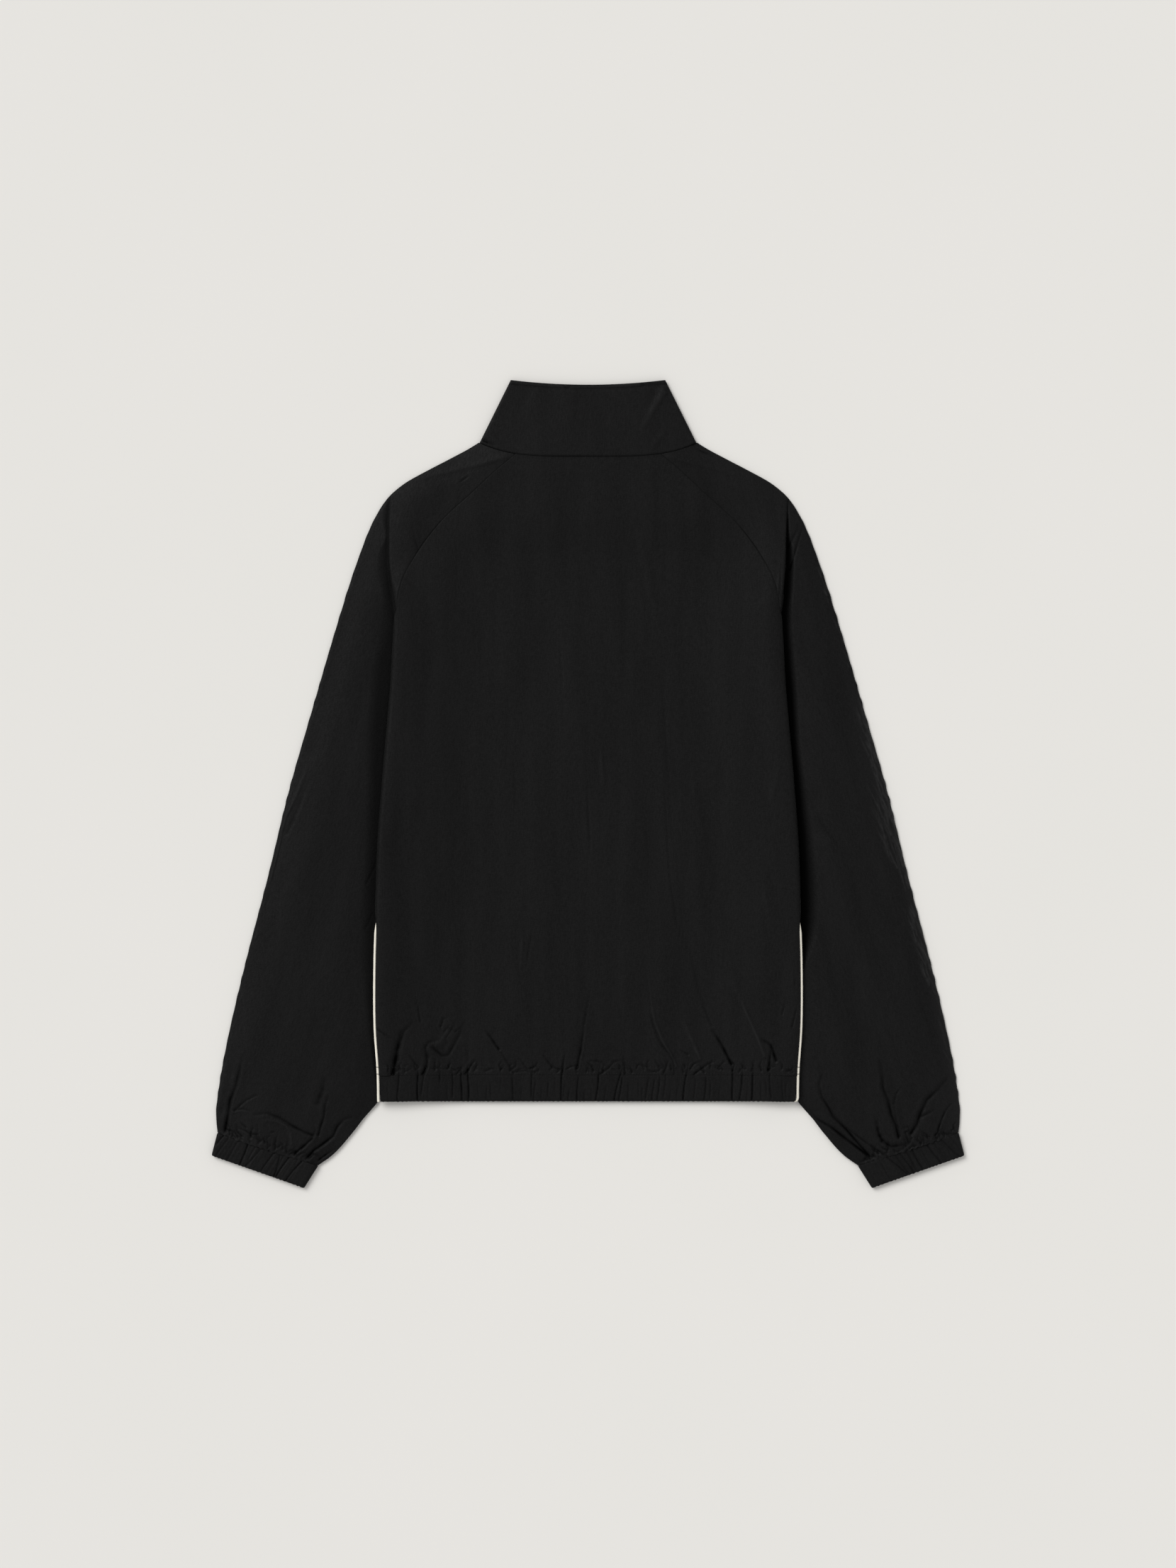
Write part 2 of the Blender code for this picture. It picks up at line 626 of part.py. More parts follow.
def make_piping(name, side):
    """A cord in the side seam, from under the armpit down past the hem."""
    line = bpy.data.curves.new(name, "CURVE")
    line.dimensions = "3D"
    line.bevel_depth = PIPING_RADIUS * MM
    line.bevel_resolution = 1
    line.use_fill_caps = True
    line.materials.append(make_material(name, **PIPING_CORD))
    top = ARMPIT_Y - 6
    count = 27
    spline = line.splines.new("POLY")
    spline.points.add(count)
    for k, point in enumerate(spline.points):
        y = HEM_Y + (top - HEM_Y) * k / count
        hidden = smooth((y - PIPING_SHOWN_Y) / (PIPING_HIDDEN_Y - PIPING_SHOWN_Y))
        x = body_side(y) - PIPING_RADIUS - PIPING_TUCK * hidden
        z = side_lift(x, y) + WALL + SEAM + PIPING_RADIUS
        point.co = (side * x * MM, y * MM, z * MM, 1.0)
    made = bpy.data.objects.new(name, line)
    bpy.context.scene.collection.objects.link(made)


def make_zip_tape(name, side):
    def place(u, w, layer):
        y = HEM_Y + (ZIP_TOP_Y - HEM_Y) * w
        x = TAPE_INNER + (TAPE_OUTER - TAPE_INNER) * u
        cloth = WALL + (COLLAR_WALL - WALL) * smooth((y - 258) / 10)
        return Vector((side * x, y, cloth + SEAM + TAPE_WALL * layer + zip_raise(x, y)))

    slab(name, 1, 36, place, ZIP_TAPE)


def make_zip_chain():
    top = SLIDER_Y - SLIDER_SIZE[1] / 2 - SEAM

    def place(u, w, layer):
        y = HEM_Y + (top - HEM_Y) * w
        x = CHAIN_HALF * (2 * u - 1)
        return Vector((x, y, SEAM + CHAIN_HEIGHT * layer + zip_raise(x, y)))

    slab("zip_chain", 2, 36, place, ZIP_MOULDED)


def add_box(bm, size, centre):
    """A box in millimetres."""
    made = bmesh.ops.create_cube(bm, size=1.0)["verts"]
    bmesh.ops.scale(bm, verts=made, vec=Vector(size) * MM)
    bmesh.ops.translate(bm, verts=made, vec=Vector(centre) * MM)
    return made


def cut(made, tool, operation):
    """Join or cut one object with another, and remove the tool."""
    modifier = made.modifiers.new("cut", "BOOLEAN")
    modifier.operation = operation
    modifier.object = tool
    bpy.context.view_layer.update()
    graph = bpy.context.evaluated_depsgraph_get()
    mesh = bpy.data.meshes.new_from_object(made.evaluated_get(graph))
    made.modifiers.clear()
    made.data = mesh
    bpy.data.objects.remove(tool)


def box_object(name, size, centre, look, bevel=0.0):
    bm = bmesh.new()
    add_box(bm, size, centre)
    if bevel:
        bmesh.ops.bevel(bm, geom=bm.edges[:], offset=bevel * MM, segments=2, profile=0.5,
                        affect="EDGES", material=-1)
    return finish(name, bm, look)


def make_zip_slider():
    """Slider body with the small bridge that the pull tab hangs from."""
    middle = SLIDER_LOW + SLIDER_SIZE[2] / 2
    body = box_object("zip_slider", SLIDER_SIZE, (0, SLIDER_Y, middle), ZIP_METAL, bevel=0.6)
    bridge_low = PULL_AXIS_Z - 1.2
    bridge_height = SLIDER_LOW + 0.6 - bridge_low
    bridge = box_object("bridge", (2.4, 4.2, bridge_height),
                        (0, SLIDER_Y, bridge_low + bridge_height / 2), ZIP_METAL)
    hole_height = SLIDER_LOW - PULL_AXIS_Z + 0.75
    hole = box_object("hole", (4.0, 1.7, hole_height),
                      (0, SLIDER_Y, PULL_AXIS_Z - 0.75 + hole_height / 2), ZIP_METAL)
    cut(bridge, hole, "DIFFERENCE")
    cut(body, bridge, "UNION")


def make_zip_pull():
    """Pull tab: a plate with an eye, its end bar held in the slider's bridge."""
    reach = PULL_LENGTH - BAR_HALF
    pull = box_object("zip_pull", (PULL_WIDTH, PULL_LENGTH, PULL_WALL),
                      (0, BAR_HALF - PULL_LENGTH / 2, 0), ZIP_METAL)
    eye = box_object("eye", (3.2, 4.6, 3.0), (0, -BAR_HALF - 2.3, 0), ZIP_METAL)
    cut(pull, eye, "DIFFERENCE")
    drop = PULL_AXIS_Z - PULL_WALL / 2 - 0.1
    tilt = math.asin(drop / reach)
    pull.data.transform(Matrix.Rotation(tilt, 4, "X"))
    pull.location = Vector((0, SLIDER_Y, PULL_AXIS_Z)) * MM


def build():
    for old in list(bpy.data.objects):
        bpy.data.objects.remove(old)
    make_back()
    make_hem_back()
    make_collar()
    for name, side in SIDES.items():
        make_front("front_" + name, side)
        make_sleeve_back("sleeve_back_" + name, side)
        make_sleeve_front("sleeve_front_" + name, side)
        make_hem_front("hem_front_" + name, side)
        make_cuff("cuff_" + name, side)
        make_piping("piping_" + name, side)
        make_zip_tape("zip_tape_" + name, side)
    make_zip_chain()
    make_zip_slider()
    make_zip_pull()


build()
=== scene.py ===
# %% [markdown]
# A windbreaker laid flat with its back up, seen from straight above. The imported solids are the
# frame: they fix every size and place. This script dresses them in cloth, thread and light.
# The frame is loaded first, so that each piece made below can be put where its solid already is.

# %% Load the frame
import math
from collections import namedtuple

import bmesh
import bpy
import numpy as np
from mathutils import Matrix, Vector


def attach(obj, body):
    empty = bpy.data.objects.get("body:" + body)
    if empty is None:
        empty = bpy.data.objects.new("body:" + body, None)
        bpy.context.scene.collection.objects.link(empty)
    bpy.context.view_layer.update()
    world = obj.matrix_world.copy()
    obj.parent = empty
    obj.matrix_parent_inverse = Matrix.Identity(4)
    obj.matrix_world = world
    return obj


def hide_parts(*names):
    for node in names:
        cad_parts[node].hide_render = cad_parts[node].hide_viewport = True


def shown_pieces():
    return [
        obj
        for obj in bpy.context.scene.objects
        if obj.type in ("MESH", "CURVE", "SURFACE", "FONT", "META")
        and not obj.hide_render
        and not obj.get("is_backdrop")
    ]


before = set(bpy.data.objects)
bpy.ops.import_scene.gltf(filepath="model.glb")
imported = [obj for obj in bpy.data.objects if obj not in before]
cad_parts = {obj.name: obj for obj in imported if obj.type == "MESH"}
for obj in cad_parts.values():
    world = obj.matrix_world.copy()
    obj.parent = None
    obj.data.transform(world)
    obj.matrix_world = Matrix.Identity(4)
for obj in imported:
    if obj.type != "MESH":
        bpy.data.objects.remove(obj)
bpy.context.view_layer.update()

MM = 0.001

# %% [markdown]
# The camera looks straight down, as the photograph does. A long lens from four metres keeps the
# thin jacket free of perspective. The picture's height on the floor gives the lens, because the
# sensor's width lies along the longer side of the picture.

# %% Camera
PICTURE_HEIGHT = 1.659
CAMERA_HEIGHT = 4.0

lens = bpy.data.cameras.new("camera")
lens.lens = lens.sensor_width * CAMERA_HEIGHT / PICTURE_HEIGHT
camera = bpy.data.objects.new("camera", lens)
camera.location = (0, 0, CAMERA_HEIGHT)
bpy.context.scene.collection.objects.link(camera)
bpy.context.scene.camera = camera
print("lens", round(lens.lens, 1), "mm")

# %% [markdown]
# Every finish below is a tree of shader nodes. One small function adds a node, sets its values and
# links its inputs. Colours are written as sRGB hex values, which is how a picture shows them, and
# one function turns them to the linear values that a shader needs.

# %% Helpers for finishes
def linear(colour):
    """Turn an sRGB hex value into linear red, green, blue and alpha."""
    parts = [int(colour[i:i + 2], 16) / 255 for i in (1, 3, 5)]
    return (*[c / 12.92 if c < 0.04045 else ((c + 0.055) / 1.055) ** 2.4 for c in parts], 1.0)


def add_node(tree, kind, inputs, **settings):
    """Add a node; each input is a value or the output socket that feeds it."""
    made = tree.nodes.new(kind)
    for name, value in settings.items():
        setattr(made, name, value)
    for name, value in inputs.items():
        if isinstance(value, bpy.types.NodeSocket):
            tree.links.new(value, made.inputs[name])
        else:
            made.inputs[name].default_value = value
    return made


def new_finish(name, **values):
    """A material with values on its shader; gives back the material, its nodes, shader and place."""
    material = bpy.data.materials.new(name)
    material.use_nodes = True
    tree = material.node_tree
    shader = tree.nodes["Principled BSDF"]
    for socket, value in values.items():
        shader.inputs[socket.replace("_", " ")].default_value = value
    place = add_node(tree, "ShaderNodeTexCoord", {}).outputs["Object"]
    return material, tree, shader, place


MIX_A, MIX_B, MIX_RESULT = 6, 7, 2
print("mid grey is", round(linear("#808080")[0], 3), "in linear light")

# %% [markdown]
# The jacket is on a plain pale floor. A single large plane does: it is a stage, so it isn't part of
# the object. Matt paper has almost no gloss, and a faint mottle keeps it from looking computed.

# %% Floor
FLOOR_HALF = 8.0
FLOOR_DROP = 0.0004
PAPER_MOTTLE = 0.35

paper, tree, shader, place = new_finish("matt_paper", Roughness=0.9, Specular_IOR_Level=0.1)
mottle = add_node(tree, "ShaderNodeTexNoise", {"Vector": place, "Scale": 1 / PAPER_MOTTLE, "Detail": 3.0})
tint = add_node(
    tree, "ShaderNodeMix", {0: mottle.outputs["Fac"], MIX_A: linear("#ebe9e5"), MIX_B: linear("#e8e7e2")},
    data_type="RGBA")
tree.links.new(tint.outputs[MIX_RESULT], shader.inputs["Base Color"])

bm = bmesh.new()
bmesh.ops.create_grid(bm, x_segments=1, y_segments=1, size=FLOOR_HALF)
bmesh.ops.translate(bm, verts=bm.verts, vec=(0, 0, -FLOOR_DROP))
floor_mesh = bpy.data.meshes.new("floor")
bm.to_mesh(floor_mesh)
bm.free()
floor_mesh.materials.append(paper)
floor = bpy.data.objects.new("floor", floor_mesh)
bpy.context.scene.collection.objects.link(floor)
floor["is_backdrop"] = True
print("floor", 2 * FLOOR_HALF, "m wide")

# %% [markdown]
# The studio light is soft and comes from the upper left: the right side of the body throws a dark
# band on the right sleeve, and the left edges have a thin bright rim. A sun with a wide disc is a
# soft box at a great distance, so it lights the whole floor evenly. A pale world fills the shadows.

# %% Light
KEY_FROM = Vector((-0.62, 0.60, 0.85))
KEY_DISC = 34.0
KEY_STRENGTH = 1.77
FILL_STRENGTH = 0.58

key_light = bpy.data.lights.new("key", "SUN")
key_light.angle = math.radians(KEY_DISC)
key_light.energy = KEY_STRENGTH
key = bpy.data.objects.new("key", key_light)
key.rotation_euler = KEY_FROM.to_track_quat("Z", "Y").to_euler()
bpy.context.scene.collection.objects.link(key)

studio = bpy.data.worlds.new("studio")
studio.use_nodes = True
studio.node_tree.nodes["Background"].inputs["Color"].default_value = linear("#fdfcfc")
studio.node_tree.nodes["Background"].inputs["Strength"].default_value = FILL_STRENGTH
bpy.context.scene.world = studio
bpy.context.scene.view_settings.view_transform = "Standard"
print("key", KEY_STRENGTH, "fill", FILL_STRENGTH)

# %% [markdown]
# The shell is crinkled nylon: a thin plain weave, dyed black, that was washed until it shrank into
# fine crinkles along the warp. It is matt with a faint gloss on the crests. The crinkles run along
# each panel, so the pattern is turned with the sleeve. They are drawn by stretched noise, whose
# stretch is worked out from the width and length of a real crinkle. The threads are too fine to
# show at this distance, so the weave is drawn about six times as coarse as it is. Each corner of a
# panel carries a number of painted shading: above 0 shade is painted into the dye and its gloss is
# taken away, and below 0 a highlight is painted on it.

# %% Crinkled nylon
CRINKLE = (1.2 * MM, 4.5 * MM, 4.5 * MM)
SLUB = (2.4 * MM, 0.9 * MM, 2.4 * MM)
CLOUD = (26 * MM, 190 * MM, 190 * MM)
CRINKLE_HEIGHT = 0.40 * MM
WEAVE_SHARE = 0.45
CLOUD_SHARE = 0.3
DYE_FROM, DYE_TO = 0.37, 0.63
ROUGH_TROUGH, ROUGH_CREST = 0.64, 0.46
# Colours of the painted shade and of the painted highlight.
SHADE_PAINT = "#030303"
HIGHLIGHT_PAINT = "#2c2c2c"


def crinkled_nylon(name, grain, dark, light, gloss):
    """Black crinkled nylon with its warp turned by some degrees from straight up."""
    material, tree, shader, place = new_finish(name, IOR=1.53, Sheen_Weight=0.03, Sheen_Roughness=0.4)
    turn = (0, 0, math.radians(grain))
    noises = []
    for size, detail in ((CRINKLE, 5.0), (SLUB, 2.0), (CLOUD, 3.0)):
        laid = add_node(
            tree, "ShaderNodeMapping", {"Vector": place, "Rotation": turn, "Scale": size},
            vector_type="TEXTURE")
        noise = add_node(
            tree, "ShaderNodeTexNoise",
            {"Vector": laid.outputs["Vector"], "Scale": 1.0, "Detail": detail, "Roughness": 0.6})
        noises.append(noise.outputs["Fac"])
    crinkle, slub, cloud = noises
    cloth = add_node(tree, "ShaderNodeMix", {0: WEAVE_SHARE, 2: crinkle, 3: slub}, data_type="FLOAT")
    bump = add_node(
        tree, "ShaderNodeBump", {"Height": cloth.outputs[0], "Distance": CRINKLE_HEIGHT, "Strength": 1.0})
    shade = add_node(
        tree, "ShaderNodeMix", {0: CLOUD_SHARE, 2: cloth.outputs[0], 3: cloud}, data_type="FLOAT")
    spread = add_node(
        tree, "ShaderNodeMapRange", {"Value": shade.outputs[0], "From Min": DYE_FROM, "From Max": DYE_TO})
    dye = add_node(
        tree, "ShaderNodeMix", {0: spread.outputs["Result"], MIX_A: linear(dark), MIX_B: linear(light)},
        data_type="RGBA")
    # Painted shading from the corners: above 0 it darkens the dye towards painted shade and takes the gloss
    # away, and below 0 it lightens the dye as a painted highlight.
    painted_shading = add_node(tree, "ShaderNodeAttribute", {}, attribute_name="painted_shading").outputs["Fac"]
    painted_highlight = add_node(tree, "ShaderNodeMapRange", {"Value": painted_shading, "From Min": 0.0, "From Max": -1.0})
    highlight_tone = add_node(
        tree, "ShaderNodeMix",
        {0: painted_highlight.outputs["Result"], MIX_A: dye.outputs[MIX_RESULT], MIX_B: linear(HIGHLIGHT_PAINT)},
        data_type="RGBA")
    shaded_tone = add_node(
        tree, "ShaderNodeMix", {0: painted_shading, MIX_A: highlight_tone.outputs[MIX_RESULT], MIX_B: linear(SHADE_PAINT)},
        data_type="RGBA")
    shine = add_node(tree, "ShaderNodeMapRange", {"Value": painted_shading, "To Min": gloss, "To Max": 0.0})
    rough = add_node(
        tree, "ShaderNodeMapRange",
        {"Value": crinkle, "From Min": 0.3, "From Max": 0.7, "To Min": ROUGH_TROUGH, "To Max": ROUGH_CREST})
    tree.links.new(shaded_tone.outputs[MIX_RESULT], shader.inputs["Base Color"])
    tree.links.new(shine.outputs["Result"], shader.inputs["Specular IOR Level"])
    tree.links.new(rough.outputs["Result"], shader.inputs["Roughness"])
    tree.links.new(bump.outputs["Normal"], shader.inputs["Normal"])
    return material


SLEEVE_GRAIN = 14.5
SHELL_LOOK = ("#080808", "#151515", 0.085)
CASING_LOOK = ("#080808", "#141414", 0.085)
NYLON = {
    "body": crinkled_nylon("crinkled_nylon_body", 0, *SHELL_LOOK),
    "left": crinkled_nylon("crinkled_nylon_left_sleeve", -SLEEVE_GRAIN, *SHELL_LOOK),
    "right": crinkled_nylon("crinkled_nylon_right_sleeve", SLEEVE_GRAIN, *SHELL_LOOK),
    "casing": crinkled_nylon("gathered_nylon_casing", 0, *CASING_LOOK),
}
print("nylon finishes", [material.name for material in NYLON.values()])

# %% [markdown]
# The rest are small: cream piping of twisted cotton under a bias strip, black polyester thread, a
# woven polyester zip tape, moulded acetal teeth and a slider of black enamelled zinc. Each has a
# pattern at its own scale: the piping's twill lines, the thread's ply, the tape's herringbone, the
# grain of moulded plastic and the small dents of enamel.

# %% Piping, thread and zip finishes
def banded(name, dark, light, period, slant, height, **values):
    """A finish with slanting bands, for twill, thread ply and woven tape."""
    material, tree, shader, place = new_finish(name, **values)
    laid = add_node(
        tree, "ShaderNodeMapping", {"Vector": place, "Rotation": (0, 0, math.radians(slant)),
                                    "Scale": (period, period, period)}, vector_type="TEXTURE")
    bands = add_node(
        tree, "ShaderNodeTexWave",
        {"Vector": laid.outputs["Vector"], "Scale": 0.5, "Distortion": 0.8, "Detail": 2.0,
         "Detail Scale": 2.0})
    dye = add_node(
        tree, "ShaderNodeMix", {0: bands.outputs["Fac"], MIX_A: linear(dark), MIX_B: linear(light)},
        data_type="RGBA")
    bump = add_node(
        tree, "ShaderNodeBump", {"Height": bands.outputs["Fac"], "Distance": height, "Strength": 0.7})
    tree.links.new(dye.outputs[MIX_RESULT], shader.inputs["Base Color"])
    tree.links.new(bump.outputs["Normal"], shader.inputs["Normal"])
    return material


def grained(name, dark, light, grain, height, **values):
    """A finish with an even fine grain, for moulded plastic and enamel."""
    material, tree, shader, place = new_finish(name, **values)
    speck = add_node(tree, "ShaderNodeTexNoise", {"Vector": place, "Scale": 1 / grain, "Detail": 3.0})
    dye = add_node(
        tree, "ShaderNodeMix", {0: speck.outputs["Fac"], MIX_A: linear(dark), MIX_B: linear(light)},
        data_type="RGBA")
    bump = add_node(
        tree, "ShaderNodeBump", {"Height": speck.outputs["Fac"], "Distance": height, "Strength": 0.5})
    tree.links.new(dye.outputs[MIX_RESULT], shader.inputs["Base Color"])
    tree.links.new(bump.outputs["Normal"], shader.inputs["Normal"])
    return material


PIPING = banded("cotton_twill_piping", "#e9e3d3", "#f6f2e6", 0.9 * MM, 35, 0.05 * MM,
                Roughness=0.8, Specular_IOR_Level=0.2)
THREAD = banded("polyester_thread", "#0b0b0b", "#171717", 0.5 * MM, 50, 0.04 * MM,
                Roughness=0.5, Specular_IOR_Level=0.2)
TAPE = banded("woven_zip_tape", "#0d0d0d", "#191919", 0.8 * MM, 45, 0.06 * MM,
              Roughness=0.75, Specular_IOR_Level=0.2)
TEETH = grained("moulded_acetal_teeth", "#131314", "#1b1b1c", 0.7 * MM, 0.02 * MM,
                Roughness=0.36, Specular_IOR_Level=0.4)
ENAMEL = grained("black_enamelled_zinc", "#2a2a2c", "#38383a", 1.6 * MM, 0.03 * MM,
                 Roughness=0.3, Metallic=1.0)
print("small finishes", [m.name for m in (PIPING, THREAD, TAPE, TEETH, ENAMEL)])

# %% [markdown]
# The sizes of the jacket, in millimetres, are those of its solids: how thick the layers lie, where
# hem, armpits, shoulders and neck are, and the outline of its right half as places across at
# heights up the jacket. A smooth curve through each short table gives every height between.

# %% Sizes and outlines
CLOTH = 0.7
WALL = 1.2
SEAM = 0.3
HIDDEN_SEAM = 0.5
PIPING_RADIUS = 1.7
FLAT_STACK = 3.1
BODY_STACK = 5.8
SLEEVE_STACK = 7.5
HEM_Y = -335.5
HEM_SEAM_Y = -307.5
ARMPIT_Y = 185.0
SLEEVE_FREE_Y = 165.0
SHOULDER_Y = 303.0
NECK_HALF = 114.5
NECK_SIDE_Y = 361.0
FRONT_EDGE = 4.2
SIDES = {"left": -1, "right": 1}

Place = namedtuple("Place", "y x")
BODY_SIDE = (
    Place(-336, 222.8), Place(-303, 223.5), Place(-258, 226.5), Place(-187, 226.7), Place(-130, 224.8),
    Place(-63, 222.4), Place(4, 217.5), Place(85, 210.4), Place(170, 203.0), Place(185, 202.0),
)
RAGLAN_BACK = (
    Place(185, 202.0), Place(198, 200.6), Place(218, 195.0), Place(240, 183.0), Place(262, 168.0),
    Place(283, 150.0), Place(307, 123.4), Place(333, 95.6), Place(349, 76.5),
)
RAGLAN_FRONT = (
    Place(185, 202.0), Place(203, 197.0), Place(226, 183.0), Place(253, 160.0), Place(280, 132.0),
    Place(302, 108.0), Place(317, 88.2),
)
SLEEVE_INNER = (
    Place(-403, 285.0), Place(-393, 271.0), Place(-370, 250.0), Place(-348, 233.0), Place(-336, 222.3),
    Place(-307, 219.4), Place(-258, 217.5), Place(-187, 213.7), Place(-63, 208.4), Place(4, 204.5),
    Place(85, 201.4), Place(130, 201.5), Place(150, 201.8), Place(158, 203.0), Place(164, 204.1),
    Place(172, 203.5), Place(178, 203.1), Place(185, 202.3),
)
SLEEVE_OUTER = (
    Place(-368.3, 391.9), Place(-348, 393.4), Place(-325, 391.0), Place(-280, 383.2), Place(-190, 362.5),
    Place(-100, 338.9), Place(-10, 317.1), Place(80, 291.3), Place(170, 264.9), Place(237, 243.4),
    Place(282, 225.0), Place(304, 210.3), Place(314, 199.1), Place(320, 190.5), Place(332, 168.4),
    Place(344, 145.0), Place(356, 122.4), Place(360.4, 115.5),
)
SLEEVE_CREASE = (
    Place(185, 202.0), Place(200, 206.5), Place(220, 209.0), Place(260, 209.5), Place(303, 209.5),
)


def curve_through(places):
    """A smooth curve through (y, x) places, as a function of y."""
    ys = np.array([p.y for p in places], float)
    xs = np.array([p.x for p in places], float)
    chords = np.diff(xs) / np.diff(ys)
    slopes = np.concatenate((chords[:1], (chords[:-1] + chords[1:]) / 2, chords[-1:]))

    def at(y):
        i = np.clip(np.searchsorted(ys, y, side="right") - 1, 0, len(chords) - 1)
        span = ys[i + 1] - ys[i]
        t = np.clip((y - ys[i]) / span, 0.0, 1.0)
        ease = t * t * (3 - 2 * t)
        start = (t ** 3 - 2 * t * t + t) * span * slopes[i]
        end = (t ** 3 - t * t) * span * slopes[i + 1]
        return xs[i] * (1 - ease) + xs[i + 1] * ease + start + end

    return at


body_side = curve_through(BODY_SIDE)
raglan_back = curve_through(RAGLAN_BACK)
raglan_front = curve_through(RAGLAN_FRONT)
sleeve_inner = curve_through(SLEEVE_INNER)
sleeve_outer = curve_through(SLEEVE_OUTER)
sleeve_crease = curve_through(SLEEVE_CREASE)
print("half the hem is", round(float(body_side(HEM_Y)), 1), "mm")

# %% [markdown]
# Cloth that lies flat still has a shape: the layers stack up, the sides of the body are held up by
# the sleeves that are tucked below them, and the neck rises over the collar. These are smooth
# formulas, so that each panel can be as fine as it needs to be and still sit on its solid.

# %% How the layers lie
SIDE_ROLL, SIDE_ROLL_PLACE, SIDE_ROLL_WIDTH = 1.4, 9.0, 14.0
NECK_RISE, NECK_RISE_STARTS, NECK_RISE_REACH = 2.2, 235.0, 55.0
NECK_RISE_HALF, NECK_RISE_FADE = 170.0, 60.0
NECK_BACK_DIP, NECK_FRONT_DROP, NECK_FRONT_ROUND = 15.0, 90.0, 0.8
SIDE_LIFT, LIFT_STARTS, LIFT_FULL = 5.5, 45.0, 18.0
ZIP_RAISE, ZIP_RAISE_STARTS, ZIP_RAISE_REACH, ZIP_RAISE_WIDTH = 2.8, 255.0, 50.0, 22.0


def smooth(t):
    """Ease from 0 to 1."""
    t = np.clip(t, 0.0, 1.0)
    return t * t * (3.0 - 2.0 * t)


def crown(t):
    """Rise from 0 to 1, steep at first and level at the end."""
    return 1 - (1 - np.clip(t, 0.0, 1.0)) ** 2


def quarter(t):
    """Rise from 0 to 1 as a quarter of a circle, upright at first and level at the end."""
    return np.sqrt(crown(t))


def bell(gap, width):
    """A soft hump that is 1 in the middle."""
    return np.exp(-(gap / width) ** 2)


def neck_back(x):
    """The neck's line across the back."""
    return NECK_SIDE_Y - NECK_BACK_DIP * (1 - (np.abs(x) / NECK_HALF) ** 4)


def neck_front(x, gap=HIDDEN_SEAM):
    """The neck's line across the fronts, which drops to the zip."""
    across = np.minimum(np.abs(x) / (NECK_HALF + gap), 1.0)
    return NECK_SIDE_Y - (NECK_FRONT_DROP + gap) * (1 - across * across) ** NECK_FRONT_ROUND


def side_edge(y):
    """The body's side below the armpit, and the crease that carries it on over the sleeve."""
    return np.where(y <= ARMPIT_Y, body_side(y), sleeve_crease(y))


def cap_fade(y):
    """1 along the body, falling to 0 from the armpit to the shoulder."""
    return 1 - smooth((y - ARMPIT_Y) / (SHOULDER_Y - ARMPIT_Y))


def side_lift(x, y):
    """How far the body's side is held up by the sleeve that is tucked below it."""
    inside = side_edge(y) - np.abs(x)
    return SIDE_LIFT * smooth((LIFT_STARTS - inside) / (LIFT_STARTS - LIFT_FULL)) * cap_fade(y)


def body_stack(x, y):
    """Thickness of the body, from the underside of the front to the top of the back."""
    roll = SIDE_ROLL * bell(side_edge(y) - np.abs(x) - SIDE_ROLL_PLACE, SIDE_ROLL_WIDTH) * cap_fade(y)
    neck = NECK_RISE * smooth((y - NECK_RISE_STARTS) / NECK_RISE_REACH)
    return BODY_STACK + roll + neck * smooth((NECK_RISE_HALF - np.abs(x)) / NECK_RISE_FADE)


def zip_raise(x, y):
    """How far the zip's slider props up the cloth round it."""
    return ZIP_RAISE * smooth((y - ZIP_RAISE_STARTS) / ZIP_RAISE_REACH) * bell(x, ZIP_RAISE_WIDTH)


print("the body's side lies", SIDE_LIFT, "mm up on the sleeve")

# %% [markdown]
# Creases are what make cloth look like cloth. Each main one is listed: its depth, its
# width, how much of a lip stands up beside it, and the path that it takes, from where it starts at
# a seam to where it dies out. A crease with a negative depth is a ridge. The height of the cloth is
# the sum of them all, so they run into each other as real ones do. Narrow creases also get painted
# shade, and narrow ridges a painted highlight, which the finish above shows.

# %% Creases
Crease = namedtuple("Crease", "depth width lip path")
LIP_PLACE = 1.7
LIP_WIDTH = 0.9
TAPER = 0.8
UNEVEN_SHARE, UNEVEN_TURNS = 0.15, 19.0
SHARP_WIDTH = 4.0
FULL_SHADE_DEPTH = 2.4
PAINTED_WIDTH = 0.65
SHARP_SHARE = 0.65
HIGHLIGHT_RIDGE_WIDTH = 3.0
HIGHLIGHT_SHARE = 0.18


def nearest_on(path, x, y):
    """Distance to a path, which side of it a place is on, and how far along it that is."""
    points = np.array(path, float)
    runs = np.diff(points, axis=0)
    lengths = np.hypot(runs[:, 0], runs[:, 1])
    reached = np.concatenate(([0.0], np.cumsum(lengths))) / lengths.sum()
    nearest = np.full(np.shape(x), np.inf)
    beside = np.zeros(np.shape(x))
    along = np.zeros(np.shape(x))
    for start, run, length, before, after in zip(points, runs, lengths, reached, reached[1:]):
        t = np.clip(((x - start[0]) * run[0] + (y - start[1]) * run[1]) / length ** 2, 0, 1)
        dx = x - start[0] - run[0] * t
        dy = y - start[1] - run[1] * t
        gap = np.hypot(dx, dy)
        closer = gap < nearest
        nearest = np.where(closer, gap, nearest)
        beside = np.where(closer, (run[0] * dy - run[1] * dx) / length, beside)
        along = np.where(closer, before + (after - before) * t, along)
    return nearest, beside, along


